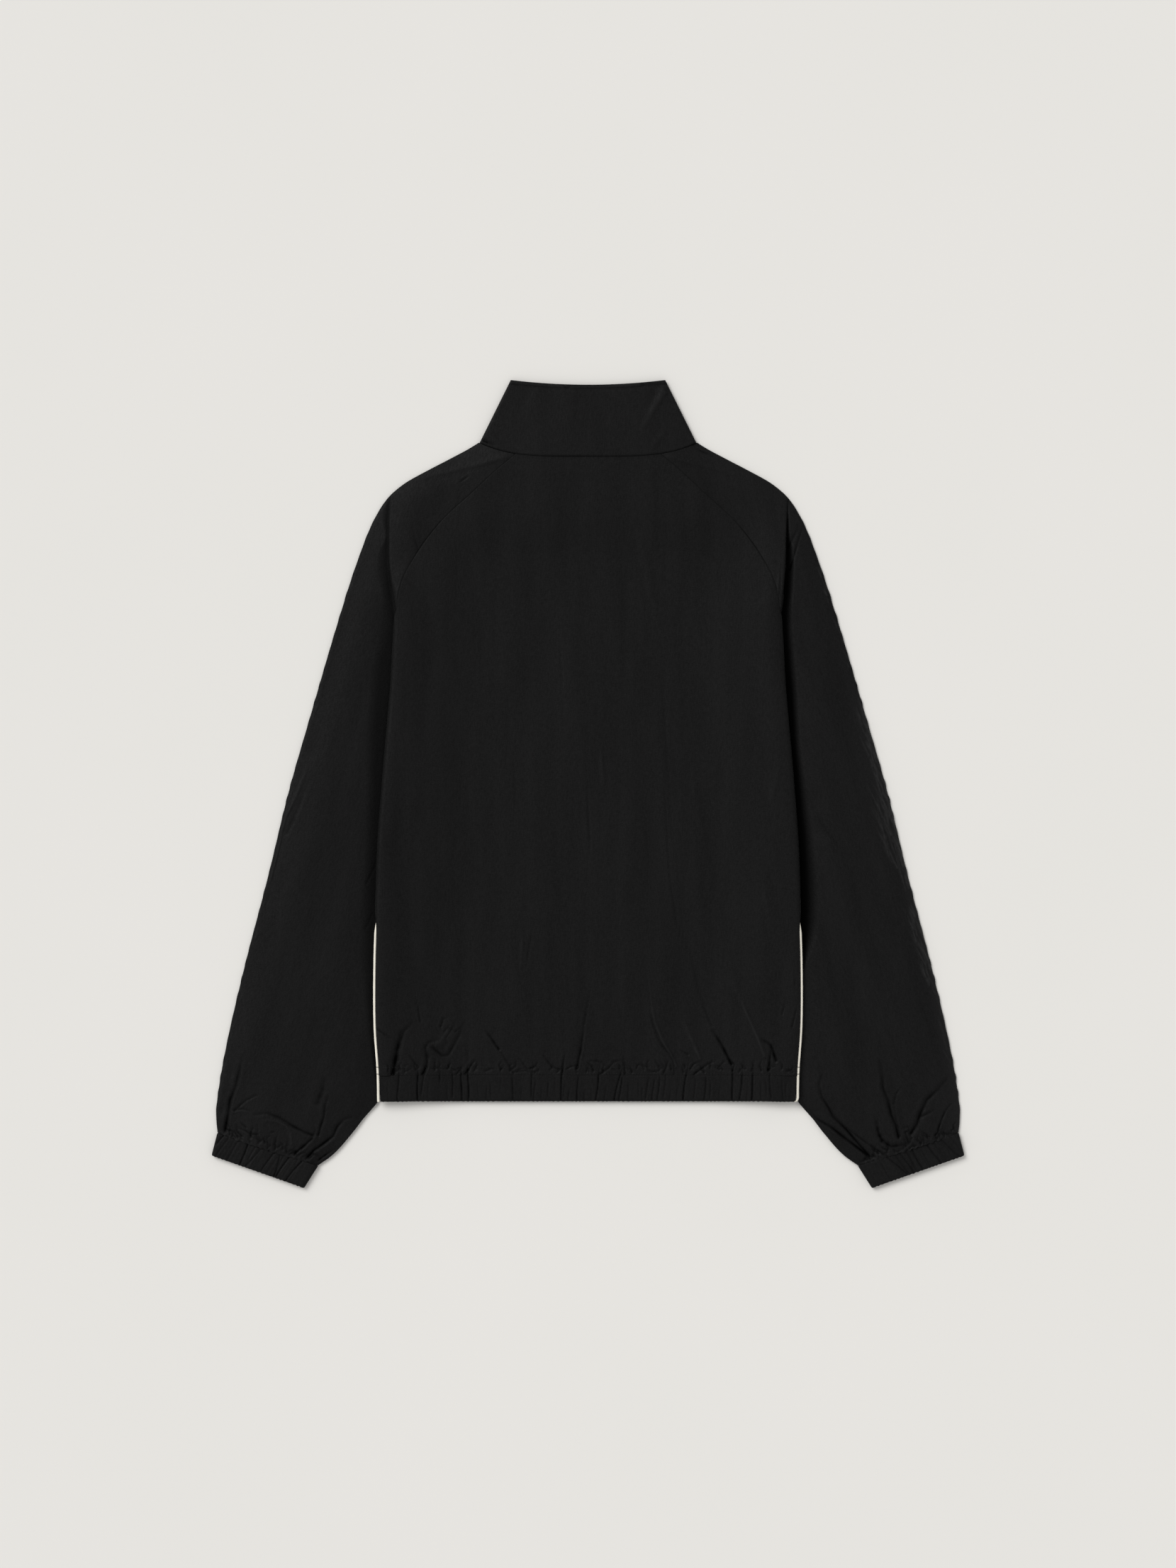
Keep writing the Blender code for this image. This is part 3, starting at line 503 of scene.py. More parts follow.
def folded(x, y, creases):
    """Height that a table of creases adds, and its painted shading: shade in narrow creases, and below 0 a
    highlight on narrow ridges.
    """
    height = np.zeros(np.shape(x))
    painted_shading = np.zeros(np.shape(x))
    painted_highlight = np.zeros(np.shape(x))
    for crease in creases:
        nearest, beside, along = nearest_on(crease.path, x, y)
        uneven = 1 - UNEVEN_SHARE + UNEVEN_SHARE * np.sin(UNEVEN_TURNS * along + crease.path[0][0])
        strength = crease.depth * (1 - TAPER * along ** 2) * uneven
        shape = -bell(nearest, crease.width)
        if crease.lip:
            on_side = 0.5 + 0.5 * np.tanh(2 * beside * np.sign(crease.lip) / crease.width)
            ridge = bell(nearest - LIP_PLACE * crease.width, LIP_WIDTH * crease.width)
            shape = shape + abs(crease.lip) * ridge * on_side
        sharp = crease.width < SHARP_WIDTH and crease.depth > 0
        height = height + strength * shape * (SHARP_SHARE if sharp else 1)
        # Shade is painted into narrow creases, and a highlight onto narrow ridges.
        if sharp:
            painted_mark = strength / FULL_SHADE_DEPTH * bell(nearest, PAINTED_WIDTH * crease.width)
            painted_shading = np.maximum(painted_shading, np.clip(painted_mark, 0, 1))
        elif crease.width < HIGHLIGHT_RIDGE_WIDTH:
            painted_highlight = np.maximum(painted_highlight, -HIGHLIGHT_SHARE * strength * bell(nearest, PAINTED_WIDTH * crease.width))
    return height, painted_shading - painted_highlight


print("crease depth at its middle",
      folded(np.zeros(1), np.zeros(1), [Crease(1.0, 3.0, 0, ((0, 0), (9, 0)))])[0])

# %% [markdown]
# Between the main creases cloth is never quite even. Slow waves remain where it was smoothed by
# hand, fine gathers ripple along each elastic, and the seam above an elastic is full of short
# crumples. The crumples are too many to place by hand, so they are drawn at random, from a fixed
# seed that gives the same ones each time.

# %% Waves, gathers and crumples
SLOW_RISE, SLOW_LENGTH = 0.16, 13
SLOWER_RISE, SLOWER_LENGTH = 0.22, 29
CRUMPLE_SPREAD, CRUMPLE_BEND = 0.75, 0.3


def swell(x, y, phase):
    """The slow, shallow waves that remain in any cloth that was smoothed by hand."""
    slow = np.sin(x / SLOW_LENGTH + 1.4 * np.sin(y / 71 + phase) + phase)
    slower = np.sin(x / SLOWER_LENGTH - y / 160 + 2 * phase)
    return SLOW_RISE * slow * (0.6 + 0.4 * np.sin(y / 47 + x / 90)) + SLOWER_RISE * slower


def puckers(along, phase):
    """Fine uneven gathers along a seam."""
    wave = np.sin(along + 1.3 * np.sin(along / 7.7 + phase))
    return wave * (0.6 + 0.4 * np.sin(along / 5.1 + 2 * phase))


def crumples(seed, count, base, up, lengths, depths):
    """Many short creases that start on a seam. The seam runs between two places, and up leaves it."""
    draw = np.random.default_rng(seed)
    start, end = (np.array(place, float) for place in base)
    made = []
    for k in range(count):
        foot = start + (end - start) * (k + draw.uniform(-0.4, 1.4)) / count
        angle = draw.normal(0, CRUMPLE_SPREAD)
        turn = np.array(((math.cos(angle), -math.sin(angle)), (math.sin(angle), math.cos(angle))))
        reach = turn @ np.array(up, float) * draw.uniform(*lengths)
        bend = np.array((-reach[1], reach[0])) * draw.uniform(-CRUMPLE_BEND, CRUMPLE_BEND)
        foot = foot + np.array(up, float) * draw.uniform(0, 5)
        made.append(Crease(draw.uniform(*depths), draw.uniform(0.9, 1.3), draw.uniform(-0.4, 0.4),
                           (tuple(foot), tuple(foot + reach / 2 + bend), tuple(foot + reach))))
    return tuple(made)


print("slow waves rise", round(float(swell(np.arange(200.0), 0.0, 0.4).max()), 2), "mm")

# %% [markdown]
# Every piece of cloth below ends in the same step: its bmesh becomes a smooth mesh at the origin,
# with its place in its corners, its faces outward and its finish on.

# %% Finishing a piece
SHARP_ANGLE = 60


def finish_piece(name, bm, finish):
    """Turn a bmesh into a smooth piece at the origin, with its faces outward."""
    if bm.calc_volume(signed=True) < 0:
        bmesh.ops.reverse_faces(bm, faces=bm.faces)
    mesh = bpy.data.meshes.new(name)
    bm.to_mesh(mesh)
    bm.free()
    mesh.shade_smooth()
    mesh.set_sharp_from_angle(angle=math.radians(SHARP_ANGLE))
    mesh.materials.append(finish)
    made = bpy.data.objects.new(name, mesh)
    bpy.context.scene.collection.objects.link(made)
    return made


# %% [markdown]
# A panel is a thin closed shell of cloth that lies flat. A fine grid is its outer face, with every
# crease in it. Nobody sees its inner face, so that is a grid a quarter as fine, which keeps clear
# of the deepest crease near each corner. The two are bridged along their borders.

# %% Panels
COARSER = 4


def lowest_near(z, reach):
    """The lowest height within some steps of each place of a grid."""
    for axis in (0, 1):
        pad = [(reach, reach) if a == axis else (0, 0) for a in (0, 1)]
        padded = np.pad(z, pad, mode="edge")
        shifted = [np.take(padded, range(k, k + z.shape[axis]), axis) for k in range(2 * reach + 1)]
        z = np.min(shifted, axis=0)
    return z


def panel(name, columns, rows, surface, finish, wall=CLOTH, side=1):
    """A closed panel. surface(u, w) is its fine face; the other face is coarse and lies a wall away."""
    u, w = np.meshgrid(np.linspace(0, 1, columns + 1), np.linspace(0, 1, rows + 1))
    x, y, z, painted_shading = np.broadcast_arrays(*surface(u, w))
    away = np.sign(wall)
    inner_z = away * lowest_near(away * z, COARSER) - wall
    faces = [np.stack((side * x, y, height), axis=-1) for height in (z, inner_z)]
    bm = bmesh.new()
    painted_mark = bm.verts.layers.float.new("painted_shading")
    for face, step in zip(faces, (1, COARSER)):
        grid = bmesh.ops.create_grid(bm, x_segments=columns // step, y_segments=rows // step, size=0.5)
        for vert in grid["verts"]:
            spot = round((vert.co.y + 0.5) * rows), round((vert.co.x + 0.5) * columns)
            vert.co = face[spot] * MM
            vert[painted_mark] = painted_shading[spot]
    bmesh.ops.bridge_loops(bm, edges=[edge for edge in bm.edges if edge.is_boundary])
    bmesh.ops.recalc_face_normals(bm, faces=bm.faces)
    return finish_piece(name, bm, finish)


print("a panel's hidden face is", COARSER, "times as coarse as its outer face")

# %% [markdown]
# Casings, collar and tapes are bands: both of their faces can show at an edge, so both are fine. A
# band starts as a flat grid that is extruded to give it two faces, and each corner is then moved to
# its place. A ring, such as a cuff, is a band whose ends meet. Last, each cloth piece is tied to the
# jacket and stands for its solid.

# %% Bands and dressing
RING_END = 0.49999


def band(name, columns, rows, surface, finish, wall=CLOTH, side=1, ring=False, under=None):
    """A closed band on surface(u, w): its other face is under(u, w), or a wall away from the first."""
    u, w = np.meshgrid(np.linspace(0, 1, columns + 1), np.linspace(0, 1, rows + 1))
    *place, painted_shading = np.broadcast_arrays(*surface(u, w))
    outer = np.stack(place, axis=-1)
    if under:
        inner = np.stack(np.broadcast_arrays(*under(u, w)), axis=-1)
    else:
        normal = np.cross(np.gradient(outer, axis=1), np.gradient(outer, axis=0))
        inner = outer - wall * normal / np.linalg.norm(normal, axis=-1, keepdims=True)
    places = np.stack((inner, outer)) * MM * np.array((side, 1, 1))
    bm = bmesh.new()
    painted_mark = bm.verts.layers.float.new("painted_shading")
    bmesh.ops.create_grid(bm, x_segments=columns, y_segments=rows, size=0.5)
    raised = bmesh.ops.extrude_face_region(bm, geom=bm.faces[:])["geom"]
    bmesh.ops.translate(bm, verts=[g for g in raised if isinstance(g, bmesh.types.BMVert)], vec=(0, 0, 1))
    bmesh.ops.recalc_face_normals(bm, faces=bm.faces)
    if ring:
        ends = [face for face in bm.faces if abs(face.calc_center_median().x) > RING_END]
        bmesh.ops.delete(bm, geom=ends, context="FACES_ONLY")
    for vert in bm.verts:
        row, column = round((vert.co.y + 0.5) * rows), round((vert.co.x + 0.5) * columns)
        vert.co = places[round(vert.co.z), row, column]
        vert[painted_mark] = painted_shading[row, column]
    if ring:
        bmesh.ops.remove_doubles(bm, verts=bm.verts, dist=1e-7)
    return finish_piece(name, bm, finish)


def dress(piece, node):
    """A cloth piece stands for its solid and moves with the jacket."""
    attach(piece, "jacket")
    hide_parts(node)


print("cloth is drawn", CLOTH, "mm thick")

# %% [markdown]
# The elastic in the hem draws the cloth in, so upright creases cross the casing and fade out in the
# back above it. Some are sharp from top to bottom, and some are only a shade. Each has a place along
# the hem, a lean, a depth, and the shares of the casing's height where it starts and ends. The back
# and the casing read the same table, so a crease carries on across the seam between them.

# %% Hem creases
HemCrease = namedtuple("HemCrease", "x lean depth starts ends")
HEM_CREASES = (
    HemCrease(-211, 0.4, 0.3, 0.3, 1.0), HemCrease(-199.8, -1.2, 1.0, 0.0, 1.0),
    HemCrease(-190, 0.5, 0.3, 0.4, 1.0), HemCrease(-180.2, 0.6, 1.4, 0.0, 1.0),
    HemCrease(-173.6, -2.7, 0.9, 0.0, 0.75), HemCrease(-168, -1.0, 0.3, 0.3, 0.9),
    HemCrease(-156.7, -1.3, 0.9, 0.0, 0.3), HemCrease(-149, 1.3, 0.4, 0.4, 1.0),
    HemCrease(-143.6, 1.3, 0.9, 0.0, 0.85), HemCrease(-133.7, 0.0, 1.3, 0.0, 1.0),
    HemCrease(-126.6, 0.0, 1.3, 0.0, 1.0), HemCrease(-116, 0.5, 0.3, 0.2, 0.8),
    HemCrease(-107, -0.5, 0.4, 0.4, 1.0), HemCrease(-103, 0.5, 0.4, 0.3, 0.9),
    HemCrease(-92, 0.0, 0.3, 0.1, 0.6), HemCrease(-81, 2.6, 0.8, 0.1, 1.0),
    HemCrease(-70, -1.0, 0.3, 0.5, 1.0), HemCrease(-58.8, -1.8, 0.9, 0.0, 0.85),
    HemCrease(-54.8, -2.6, 0.7, 0.3, 1.0), HemCrease(-48, -1.0, 0.3, 0.5, 1.0),
    HemCrease(-40.5, -2.6, 0.7, 0.3, 0.8), HemCrease(-34, -1.0, 0.3, 0.2, 0.7),
    HemCrease(-27.4, -1.8, 1.3, 0.0, 1.0), HemCrease(-24, -2.0, 0.5, 0.4, 0.9),
    HemCrease(-18.3, -2.6, 0.6, 0.6, 1.0), HemCrease(-9.9, -1.9, 1.0, 0.1, 1.0),
    HemCrease(-2.5, -2.0, 0.4, 0.6, 1.0), HemCrease(4, -1.0, 0.3, 0.5, 1.0),
    HemCrease(11.7, -3.9, 1.2, 0.0, 1.0), HemCrease(20, -2.0, 0.3, 0.4, 1.0),
    HemCrease(33.9, -6.5, 1.3, 0.0, 1.0), HemCrease(36.8, -4.7, 1.0, 0.1, 1.0),
    HemCrease(43, -1.3, 0.5, 0.3, 1.0), HemCrease(54, -1.0, 0.4, 0.3, 0.8),
    HemCrease(59, -2.0, 0.4, 0.5, 1.0), HemCrease(64, -2.8, 0.7, 0.1, 0.9),
    HemCrease(70.5, -2.6, 0.8, 0.2, 1.0), HemCrease(75.7, -2.1, 0.9, 0.1, 1.0),
    HemCrease(82, -2.5, 0.6, 0.0, 0.9), HemCrease(88, -1.5, 0.4, 0.5, 1.0),
    HemCrease(95, -1.0, 0.3, 0.4, 0.9), HemCrease(104, -4.3, 1.3, 0.0, 1.0),
    HemCrease(113.6, -1.5, 0.5, 0.2, 0.9), HemCrease(125, -2.5, 0.9, 0.1, 1.0),
    HemCrease(130.5, -2.5, 0.6, 0.3, 0.9), HemCrease(140, -1.0, 0.3, 0.4, 1.0),
    HemCrease(152.2, 0.5, 1.3, 0.0, 1.0), HemCrease(163, -3.2, 1.0, 0.0, 1.0),
    HemCrease(168.5, -1.0, 0.3, 0.5, 1.0), HemCrease(174.4, -2.1, 1.3, 0.0, 1.0),
    HemCrease(181.5, 1.0, 0.5, 0.3, 1.0), HemCrease(187.5, 0.5, 0.5, 0.2, 0.8),
    HemCrease(192, 1.0, 0.8, 0.0, 0.9), HemCrease(205, 0.5, 0.5, 0.2, 1.0),
    HemCrease(209, 0.5, 0.4, 0.3, 0.9),
)
HEM_CREASE_WIDTH = 0.8
HEM_BOW = 0.5
END_FADE = 0.2
GATHER_FADE = 7.0


def hem_gathers(x, y):
    """Creases of the hem, which fade out above its seam, and the shade painted into them."""
    height = np.zeros(np.shape(x))
    down = (HEM_SEAM_Y - y) / (HEM_SEAM_Y - HEM_Y)
    for crease in HEM_CREASES:
        bow = HEM_BOW * np.sin(4 * down + crease.x)
        gap = x - crease.x - crease.lean * down - bow
        starts = smooth((down - crease.starts + END_FADE / 2) / END_FADE) if crease.starts else 1.0
        ends = smooth((crease.ends + END_FADE / 2 - down) / END_FADE) if crease.ends < 1 else 1.0
        height = height - crease.depth * bell(gap, HEM_CREASE_WIDTH) * starts * ends
    height = height * np.exp(-np.maximum(y - HEM_SEAM_Y, 0) / GATHER_FADE)
    # The deeper a crease, the more shade is painted into it.
    return height, np.clip(-height / FULL_SHADE_DEPTH, 0, 1)


print(len(HEM_CREASES), "creases in the hem")

# %% [markdown]
# The elastic also gathers the back itself: a few deep folds run up from the hem's seam, and crumples
# fill the rest. Long soft folds hang from the shoulders, most of them right of the middle. Each one
# has its own course. Only the crumples along the seam are drawn at random.

# %% Back creases
BACK_CREASES = (
    Crease(3.2, 3.6, 0.15, ((-206, -306), (-202, -284), (-197, -262))),
    Crease(1.6, 2.2, 0.2, ((-201, -281), (-194, -260), (-186, -253))),
    Crease(1.2, 1.2, 0.2, ((-222, -259.5), (-207.5, -269))),
    Crease(1.1, 1.1, 0.2, ((-177, -251), (-179.6, -235), (-185.5, -225.5))),
    Crease(1.6, 1.2, 0.2, ((-179, -299.5), (-189.3, -285.8))),
    Crease(2.8, 1.9, 0.2, ((-174.5, -306), (-171, -299), (-168.4, -286))),
    Crease(1.5, 2.4, -0.3, ((-170, -290), (-172, -278), (-168, -272.5), (-158, -270))),
    Crease(1.6, 2.2, 0.3, ((-164.5, -278), (-154, -287), (-147.5, -286), (-136, -265), (-132, -253))),
    Crease(-0.9, 4.0, 0, ((-158, -276), (-146, -262))),
    Crease(1.5, 1.5, 0.3, ((-155.4, -256), (-153, -248), (-148.5, -246.5))),
    Crease(1.0, 1.2, 0.3, ((-150, -268), (-143, -258), (-140, -250))),
    Crease(1.0, 1.1, -0.3, ((-147, -258), (-140, -262), (-134, -256))),
    Crease(0.9, 1.1, 0.3, ((-152, -262), (-146, -254))),
    Crease(1.7, 1.3, 0.2, ((-138.5, -306), (-132.5, -298.5))),
    Crease(2.6, 1.6, 0.2, ((-129.5, -306), (-120, -292))),
    Crease(1.1, 1.1, 0.3, ((-166, -300), (-149, -300.5))),
    Crease(0.5, 3.0, 0, ((-128, -291), (-128, -265))),
    Crease(2.3, 1.3, 0.25, ((-94, -280.5), (-107.6, -261))),
    Crease(1.3, 1.1, 0.2, ((-78.3, -306), (-84, -296), (-94, -280.5))),
    Crease(1.1, 1.1, 0.3, ((-64, -301.5), (-73, -289.5))),
    Crease(1.1, 1.1, -0.3, ((-78, -304.5), (-68, -303), (-57, -304))),
    Crease(1.0, 1.1, 0.3, ((-61, -300), (-52, -299.5))),
    Crease(1.7, 1.3, 0.2, ((-30, -301.5), (-38, -299), (-47, -287))),
    Crease(1.6, 1.2, 0.2, ((-27.4, -306.5), (-26, -293.5), (-24, -284.5))),
    Crease(2.2, 1.5, -0.25, ((-11.8, -300), (-7.5, -280.5), (-4, -254))),
    Crease(0.8, 1.4, 0.2, ((-4, -254), (1.3, -223))),
    Crease(1.0, 1.1, 0.3, ((2.5, -292.5), (13, -293.5), (22, -300))),
    Crease(1.5, 1.3, 0.3, ((13, -306.5), (22, -300), (27.5, -293.5), (36.5, -292))),
    Crease(1.7, 1.2, 0.2, ((39, -306.5), (38, -291))),
    Crease(1.0, 1.1, 0.3, ((62.5, -299), (50, -296))),
    Crease(1.1, 1.1, 0.3, ((75.5, -299), (69, -289.5))),
    Crease(1.7, 1.2, 0.2, ((79.6, -306.5), (85, -292))),
    Crease(1.3, 1.3, -0.5, ((91.4, -306.5), (90, -293.5), (86, -286), (75.5, -272.5), (68, -252),
                            (62, -207))),
    Crease(-1.4, 2.0, 0, ((93, -298), (79, -272), (71, -252), (66, -231))),
    Crease(1.4, 1.2, 0.3, ((106, -286), (98, -281.5))),
    Crease(2.1, 1.4, 0.3, ((112.3, -306.5), (126.5, -296), (132, -293.5))),
    Crease(-1.2, 2.4, 0, ((118, -290), (101, -250))),
    Crease(1.1, 1.2, 0.3, ((138.5, -299), (145, -292))),
    Crease(3.2, 1.6, 0.25, ((151.4, -296), (141, -275), (131.5, -260.5))),
    Crease(0.6, 1.2, 0.5, ((131, -256), (122.5, -236), (116, -215), (107, -176), (94, -150), (86, -96),
                           (80, 15))),
    Crease(-1.5, 2.2, 0, ((186, -287), (179, -268), (164.5, -236), (151, -206))),
    Crease(3.0, 1.6, -0.25, ((198.5, -292), (193, -276), (184, -269.5))),
    Crease(2.6, 1.4, 0.2, ((190.5, -302), (193, -281))),
    Crease(1.0, 1.1, 0.3, ((205, -243), (209, -227.5))),
    Crease(1.1, 1.2, 0.3, ((215.5, -256), (221, -233))),
    Crease(0.9, 1.1, 0.3, ((218, -210), (221, -202))),
    Crease(-0.6, 1.6, 0, ((-70.5, -187), (-69, -154))),
    Crease(-0.8, 5.0, 0, ((55, 261), (71, 191), (79, 159))),
    Crease(0.7, 8.0, 0, ((41, 213), (40, 140), (39, 70))),
    Crease(0.8, 11.0, 0, ((52, 66), (60, -40), (92, -175))),
    Crease(0.3, 2.2, 0.4, ((79, 101), (84, 15), (88, -42), (95, -96))),
    Crease(-0.6, 4.0, 0, ((112, 0), (120, -48), (128, -96), (131, -128))),
    Crease(0.4, 8.0, 0, ((-37, 140), (-36, 36))),
    Crease(0.3, 1.6, 0.3, ((-29.5, 146), (-27, 95), (-26, 44))),
    Crease(-0.4, 5.0, 0, ((-2, 292), (-1, 216))),
    Crease(-0.8, 1.8, 0, ((13.5, 31), (17, -7))),
    Crease(0.7, 1.5, 0.4, ((2, -64), (0, -30), (-1, 3))),
    Crease(0.6, 1.5, 0.3, ((-64.5, -185), (-58, -147))),
    Crease(0.4, 2.0, 0.3, ((-76, -26), (-79, 28))),
    Crease(0.6, 9.0, 0, ((-171, -32), (-174, 111))),
    Crease(0.6, 9.0, 0, ((-158, 127), (-170, 213))),
    Crease(-0.7, 2.0, 0, ((185.5, -115), (193.5, -150))),
    Crease(-0.6, 2.2, 0, ((192, -16), (203, 22))),
    Crease(-0.5, 5.0, 0, ((42, -239), (36, -179))),
    Crease(-0.5, 18.0, 0, ((-60, -210), (-70, 60))),
    Crease(-0.5, 15.0, 0, ((-20, 60), (-30, 270))),
    Crease(0.9, 15.0, 0, ((118, -250), (70, -40))),
) + crumples(7, 64, ((-216, -305), (216, -305)), (0, 1), (4, 12), (0.9, 2.1))
print(len(BACK_CREASES), "creases in the back")

# %% [markdown]
# The back is one panel from the hem seam to the neck. Its sides roll over the tucked sleeves. Low
# down they stop at the piping, and higher up they cover it. Just below each armpit the side is a
# little fuller, so that it covers the sleeve that turns out from under it. The rows of the grid are
# closest near the hem, where most creases are.

# %% Back panel
GATHERED_Y = -235.0
BACK_GRID = (520, 168)
EDGE_ROLL = 5.0
DROP_SHOWN = 1.5
DROP_HIDDEN = 4.2
ARMPIT_EASE = 28.0
ARMPIT_FULL, ARMPIT_FULL_STARTS, ARMPIT_FULL_HOLDS, ARMPIT_FULL_ENDS = 2.1, 6.0, 15.0, 95.0
SEAM_DIP = 0.2
SEAM_REACH = 0.9
# Shade painted along the seams.
SEAM_SHADE = 0.15
SEAM_LAP = 0.15
HEM_LAP = 0.4
LOWEST_BACK = 2.6
PIPING_SHOWN_Y = -160.0
PIPING_HIDDEN_Y = -130.0
PIPING_SHOWS = 2.7
BACK_TOP_Y = 349.0
DRAPE_STARTS, DRAPE_FULL = 105.0, 10.0


def piping_shown(y):
    """1 where the piping shows beside the back, and 0 where the back's edge covers it."""
    return 1 - smooth((y - PIPING_SHOWN_Y) / (PIPING_HIDDEN_Y - PIPING_SHOWN_Y))


def back_edge(y):
    """Half the back panel's width, which is full just below the armpit."""
    below = ARMPIT_Y - y
    eases = 1 - smooth((below - ARMPIT_FULL_HOLDS) / (ARMPIT_FULL_ENDS - ARMPIT_FULL_HOLDS))
    side = body_side(y) + ARMPIT_FULL * smooth(below / ARMPIT_FULL_STARTS) * eases
    return np.where(y > ARMPIT_Y, raglan_back(y) + SEAM_LAP, side - PIPING_SHOWS * piping_shown(y))


def back_lift(x, y):
    """The back spans from the lifted sides to the middle in one long slope."""
    inside = side_edge(y) - np.abs(x)
    return SIDE_LIFT * smooth((DRAPE_STARTS - inside) / (DRAPE_STARTS - DRAPE_FULL)) * cap_fade(y)


def back_height(x, y, inside):
    """Height of the back's upper face and its painted shading, where inside is the distance from its side.
    """
    lift = back_lift(x, y)
    creases, painted_shading = folded(x, y, BACK_CREASES)
    gathers, painted_mark = hem_gathers(x, y)
    z = lift + body_stack(x, y) + creases + gathers + swell(x, y, phase=0.4)
    z = np.maximum(z, lift + LOWEST_BACK)
    free = smooth((ARMPIT_Y - y) / ARMPIT_EASE)
    drop = (DROP_HIDDEN + (DROP_SHOWN - DROP_HIDDEN) * piping_shown(y)) * free
    z = z - drop * (1 - quarter(inside / EDGE_ROLL))
    below_neck = neck_back(np.minimum(np.abs(x), raglan_back(BACK_TOP_Y))) - y
    seams = (1 - free) * bell(inside, SEAM_REACH)
    seams = seams + bell(y - HEM_SEAM_Y, SEAM_REACH) + bell(below_neck, SEAM_REACH)
    # Shade is painted into the creases, the hem's creases and along the seams, and narrow ridges get a
    # painted highlight.
    return z - SEAM_DIP * seams, np.clip(painted_shading + painted_mark + SEAM_SHADE * seams, -1, 1)


def back_surface(u, w):
    row = np.interp(w, (0, 0.45, 0.78, 1), (HEM_SEAM_Y - HEM_LAP, GATHERED_Y, ARMPIT_Y, BACK_TOP_Y))
    across = np.interp(u, (0, 0.03, 0.97, 1), (-1, -0.965, 0.965, 1))
    edge = back_edge(row)
    x = edge * across
    rise = np.maximum(row - ARMPIT_Y, 0) / (BACK_TOP_Y - ARMPIT_Y)
    y = row + rise ** 3 * (neck_back(back_edge(BACK_TOP_Y) * across) - SEAM - BACK_TOP_Y)
    return x, y, *back_height(x, y, edge - np.abs(x))


dress(panel("back_panel", *BACK_GRID, back_surface, NYLON["body"]), "back")

# %% [markdown]
# The fronts lie under the back, flat on the floor, one each side of the zip. The camera doesn't see
# them, so they are finished plainly, with a few soft folds pressed into them from below and the
# same lift at the sides. Their outer face is the lower one.

# %% Fronts
FRONT_TOP_Y = 317.0
FRONT_SET_BACK = 1.0
FRONT_GRID = (64, 112)
EDGE_SHARE = 0.1
FRONT_CREASES = (
    Crease(-0.9, 5.0, 0, ((60, -303), (52, -250))), Crease(-1.0, 4.0, 0, ((118, -303), (128, -258))),
    Crease(-0.8, 5.0, 0, ((168, -303), (160, -240))), Crease(-0.6, 9.0, 0, ((40, -160), (58, 90))),
    Crease(-0.6, 10.0, 0, ((110, 60), (96, 230))), Crease(-0.8, 3.5, 0, ((84, -303), (80, -276))),
)


def front_surface(u, w):
    row = np.interp(w, (0, 0.3, 0.72, 1), (HEM_SEAM_Y + SEAM, GATHERED_Y, ARMPIT_Y, FRONT_TOP_Y))
    across = np.interp(u, (0, 0.88, 1), (0, 0.92, 1))
    edge = np.where(row <= ARMPIT_Y, body_side(row) - FRONT_SET_BACK, raglan_front(row) - SEAM / 2)
    x = FRONT_EDGE + (edge - FRONT_EDGE) * across
    neck_x = FRONT_EDGE + (raglan_front(FRONT_TOP_Y) - FRONT_EDGE) * across
    rise = np.maximum(row - ARMPIT_Y, 0) / (FRONT_TOP_Y - ARMPIT_Y)
    y = row + rise * (neck_front(neck_x) - FRONT_TOP_Y)
    press, _ = folded(x, y, FRONT_CREASES)
    press = press * smooth(u / EDGE_SHARE) * smooth((1 - u) / EDGE_SHARE)
    return x, y, side_lift(x, y) + zip_raise(x, y) + press, 0.0


for name, side in SIDES.items():
    made = panel("front_panel_" + name, *FRONT_GRID, front_surface, NYLON["body"], wall=-CLOTH, side=side)
    dress(made, "front_" + name)
    print(made.name, len(made.data.polygons), "faces")

# %% [markdown]
# Each sleeve has a back and a front half, raglan cut, from the cuff to the neck. It lies as a flat
# tube: high along its middle, with soft folded edges. By the body it is tucked under the side, and
# at the shoulder a step shows where the cap folds over. Both halves have one plan, which is worked
# out here: rows run across the sleeve, from its inner to its outer edge. Below the armpit the inner
# edge goes further in, so that no hole is left under the lifted side.

# %% Sleeve shapes
SLEEVE_INNER_SLOPE, SLEEVE_OUTER_SLOPE = 60.0, 42.0
SHOULDER_SLOPE, SHOULDER_SLOPE_STARTS = 44.0, 240.0
STRAP = {"left": (170.0, 186.0), "right": (166.0, 186.0)}
CAP_EASE = {"left": 30.0, "right": 0.0}
SEAM_SIDE = {"back": -SEAM_LAP, "front": SEAM / 2}
SleeveRow = namedtuple("SleeveRow", "outer back front")
SLEEVE_ROWS = (
    SleeveRow(-368.3, -403, -403), SleeveRow(-331, -362, -362), SleeveRow(-232, -255, -255),
    SleeveRow(110, 95, 95), SleeveRow(172, 157, 157), SleeveRow(181, 164.5, 164.5),
    SleeveRow(204, 185, 185), SleeveRow(300, 285, 268), SleeveRow(360.4, 349, 317),
)
CUFF_ROW, NECK_ROW, TOP_ROW = SLEEVE_ROWS[0], SLEEVE_ROWS[-2], SLEEVE_ROWS[-1]
ROW_SHARES = {"back": (0, 0.2, 0.68, 1), "front": (0, 0.12, 0.32, 1)}
SLEEVE_TUCK = curve_through((
    Place(85, 0.0), Place(110, 2.5), Place(135, 5.5), Place(160, 8.0), Place(174, 7.0), Place(184, 0.0),
))
CAP_EDGE = {
    "left": curve_through((
        Place(-400, 224), Place(100, 208.7), Place(150, 204.8), Place(170, 203.2), Place(185, 204),
        Place(210, 208), Place(243, 210.5), Place(275, 210), Place(303, 208.5))),
    "right": curve_through((
        Place(-400, 224), Place(90, 209.8), Place(120, 206.8), Place(155, 203.6), Place(185, 203.2),
        Place(205, 205.4), Place(230, 207.6), Place(260, 208.6), Place(303, 210.3))),
}


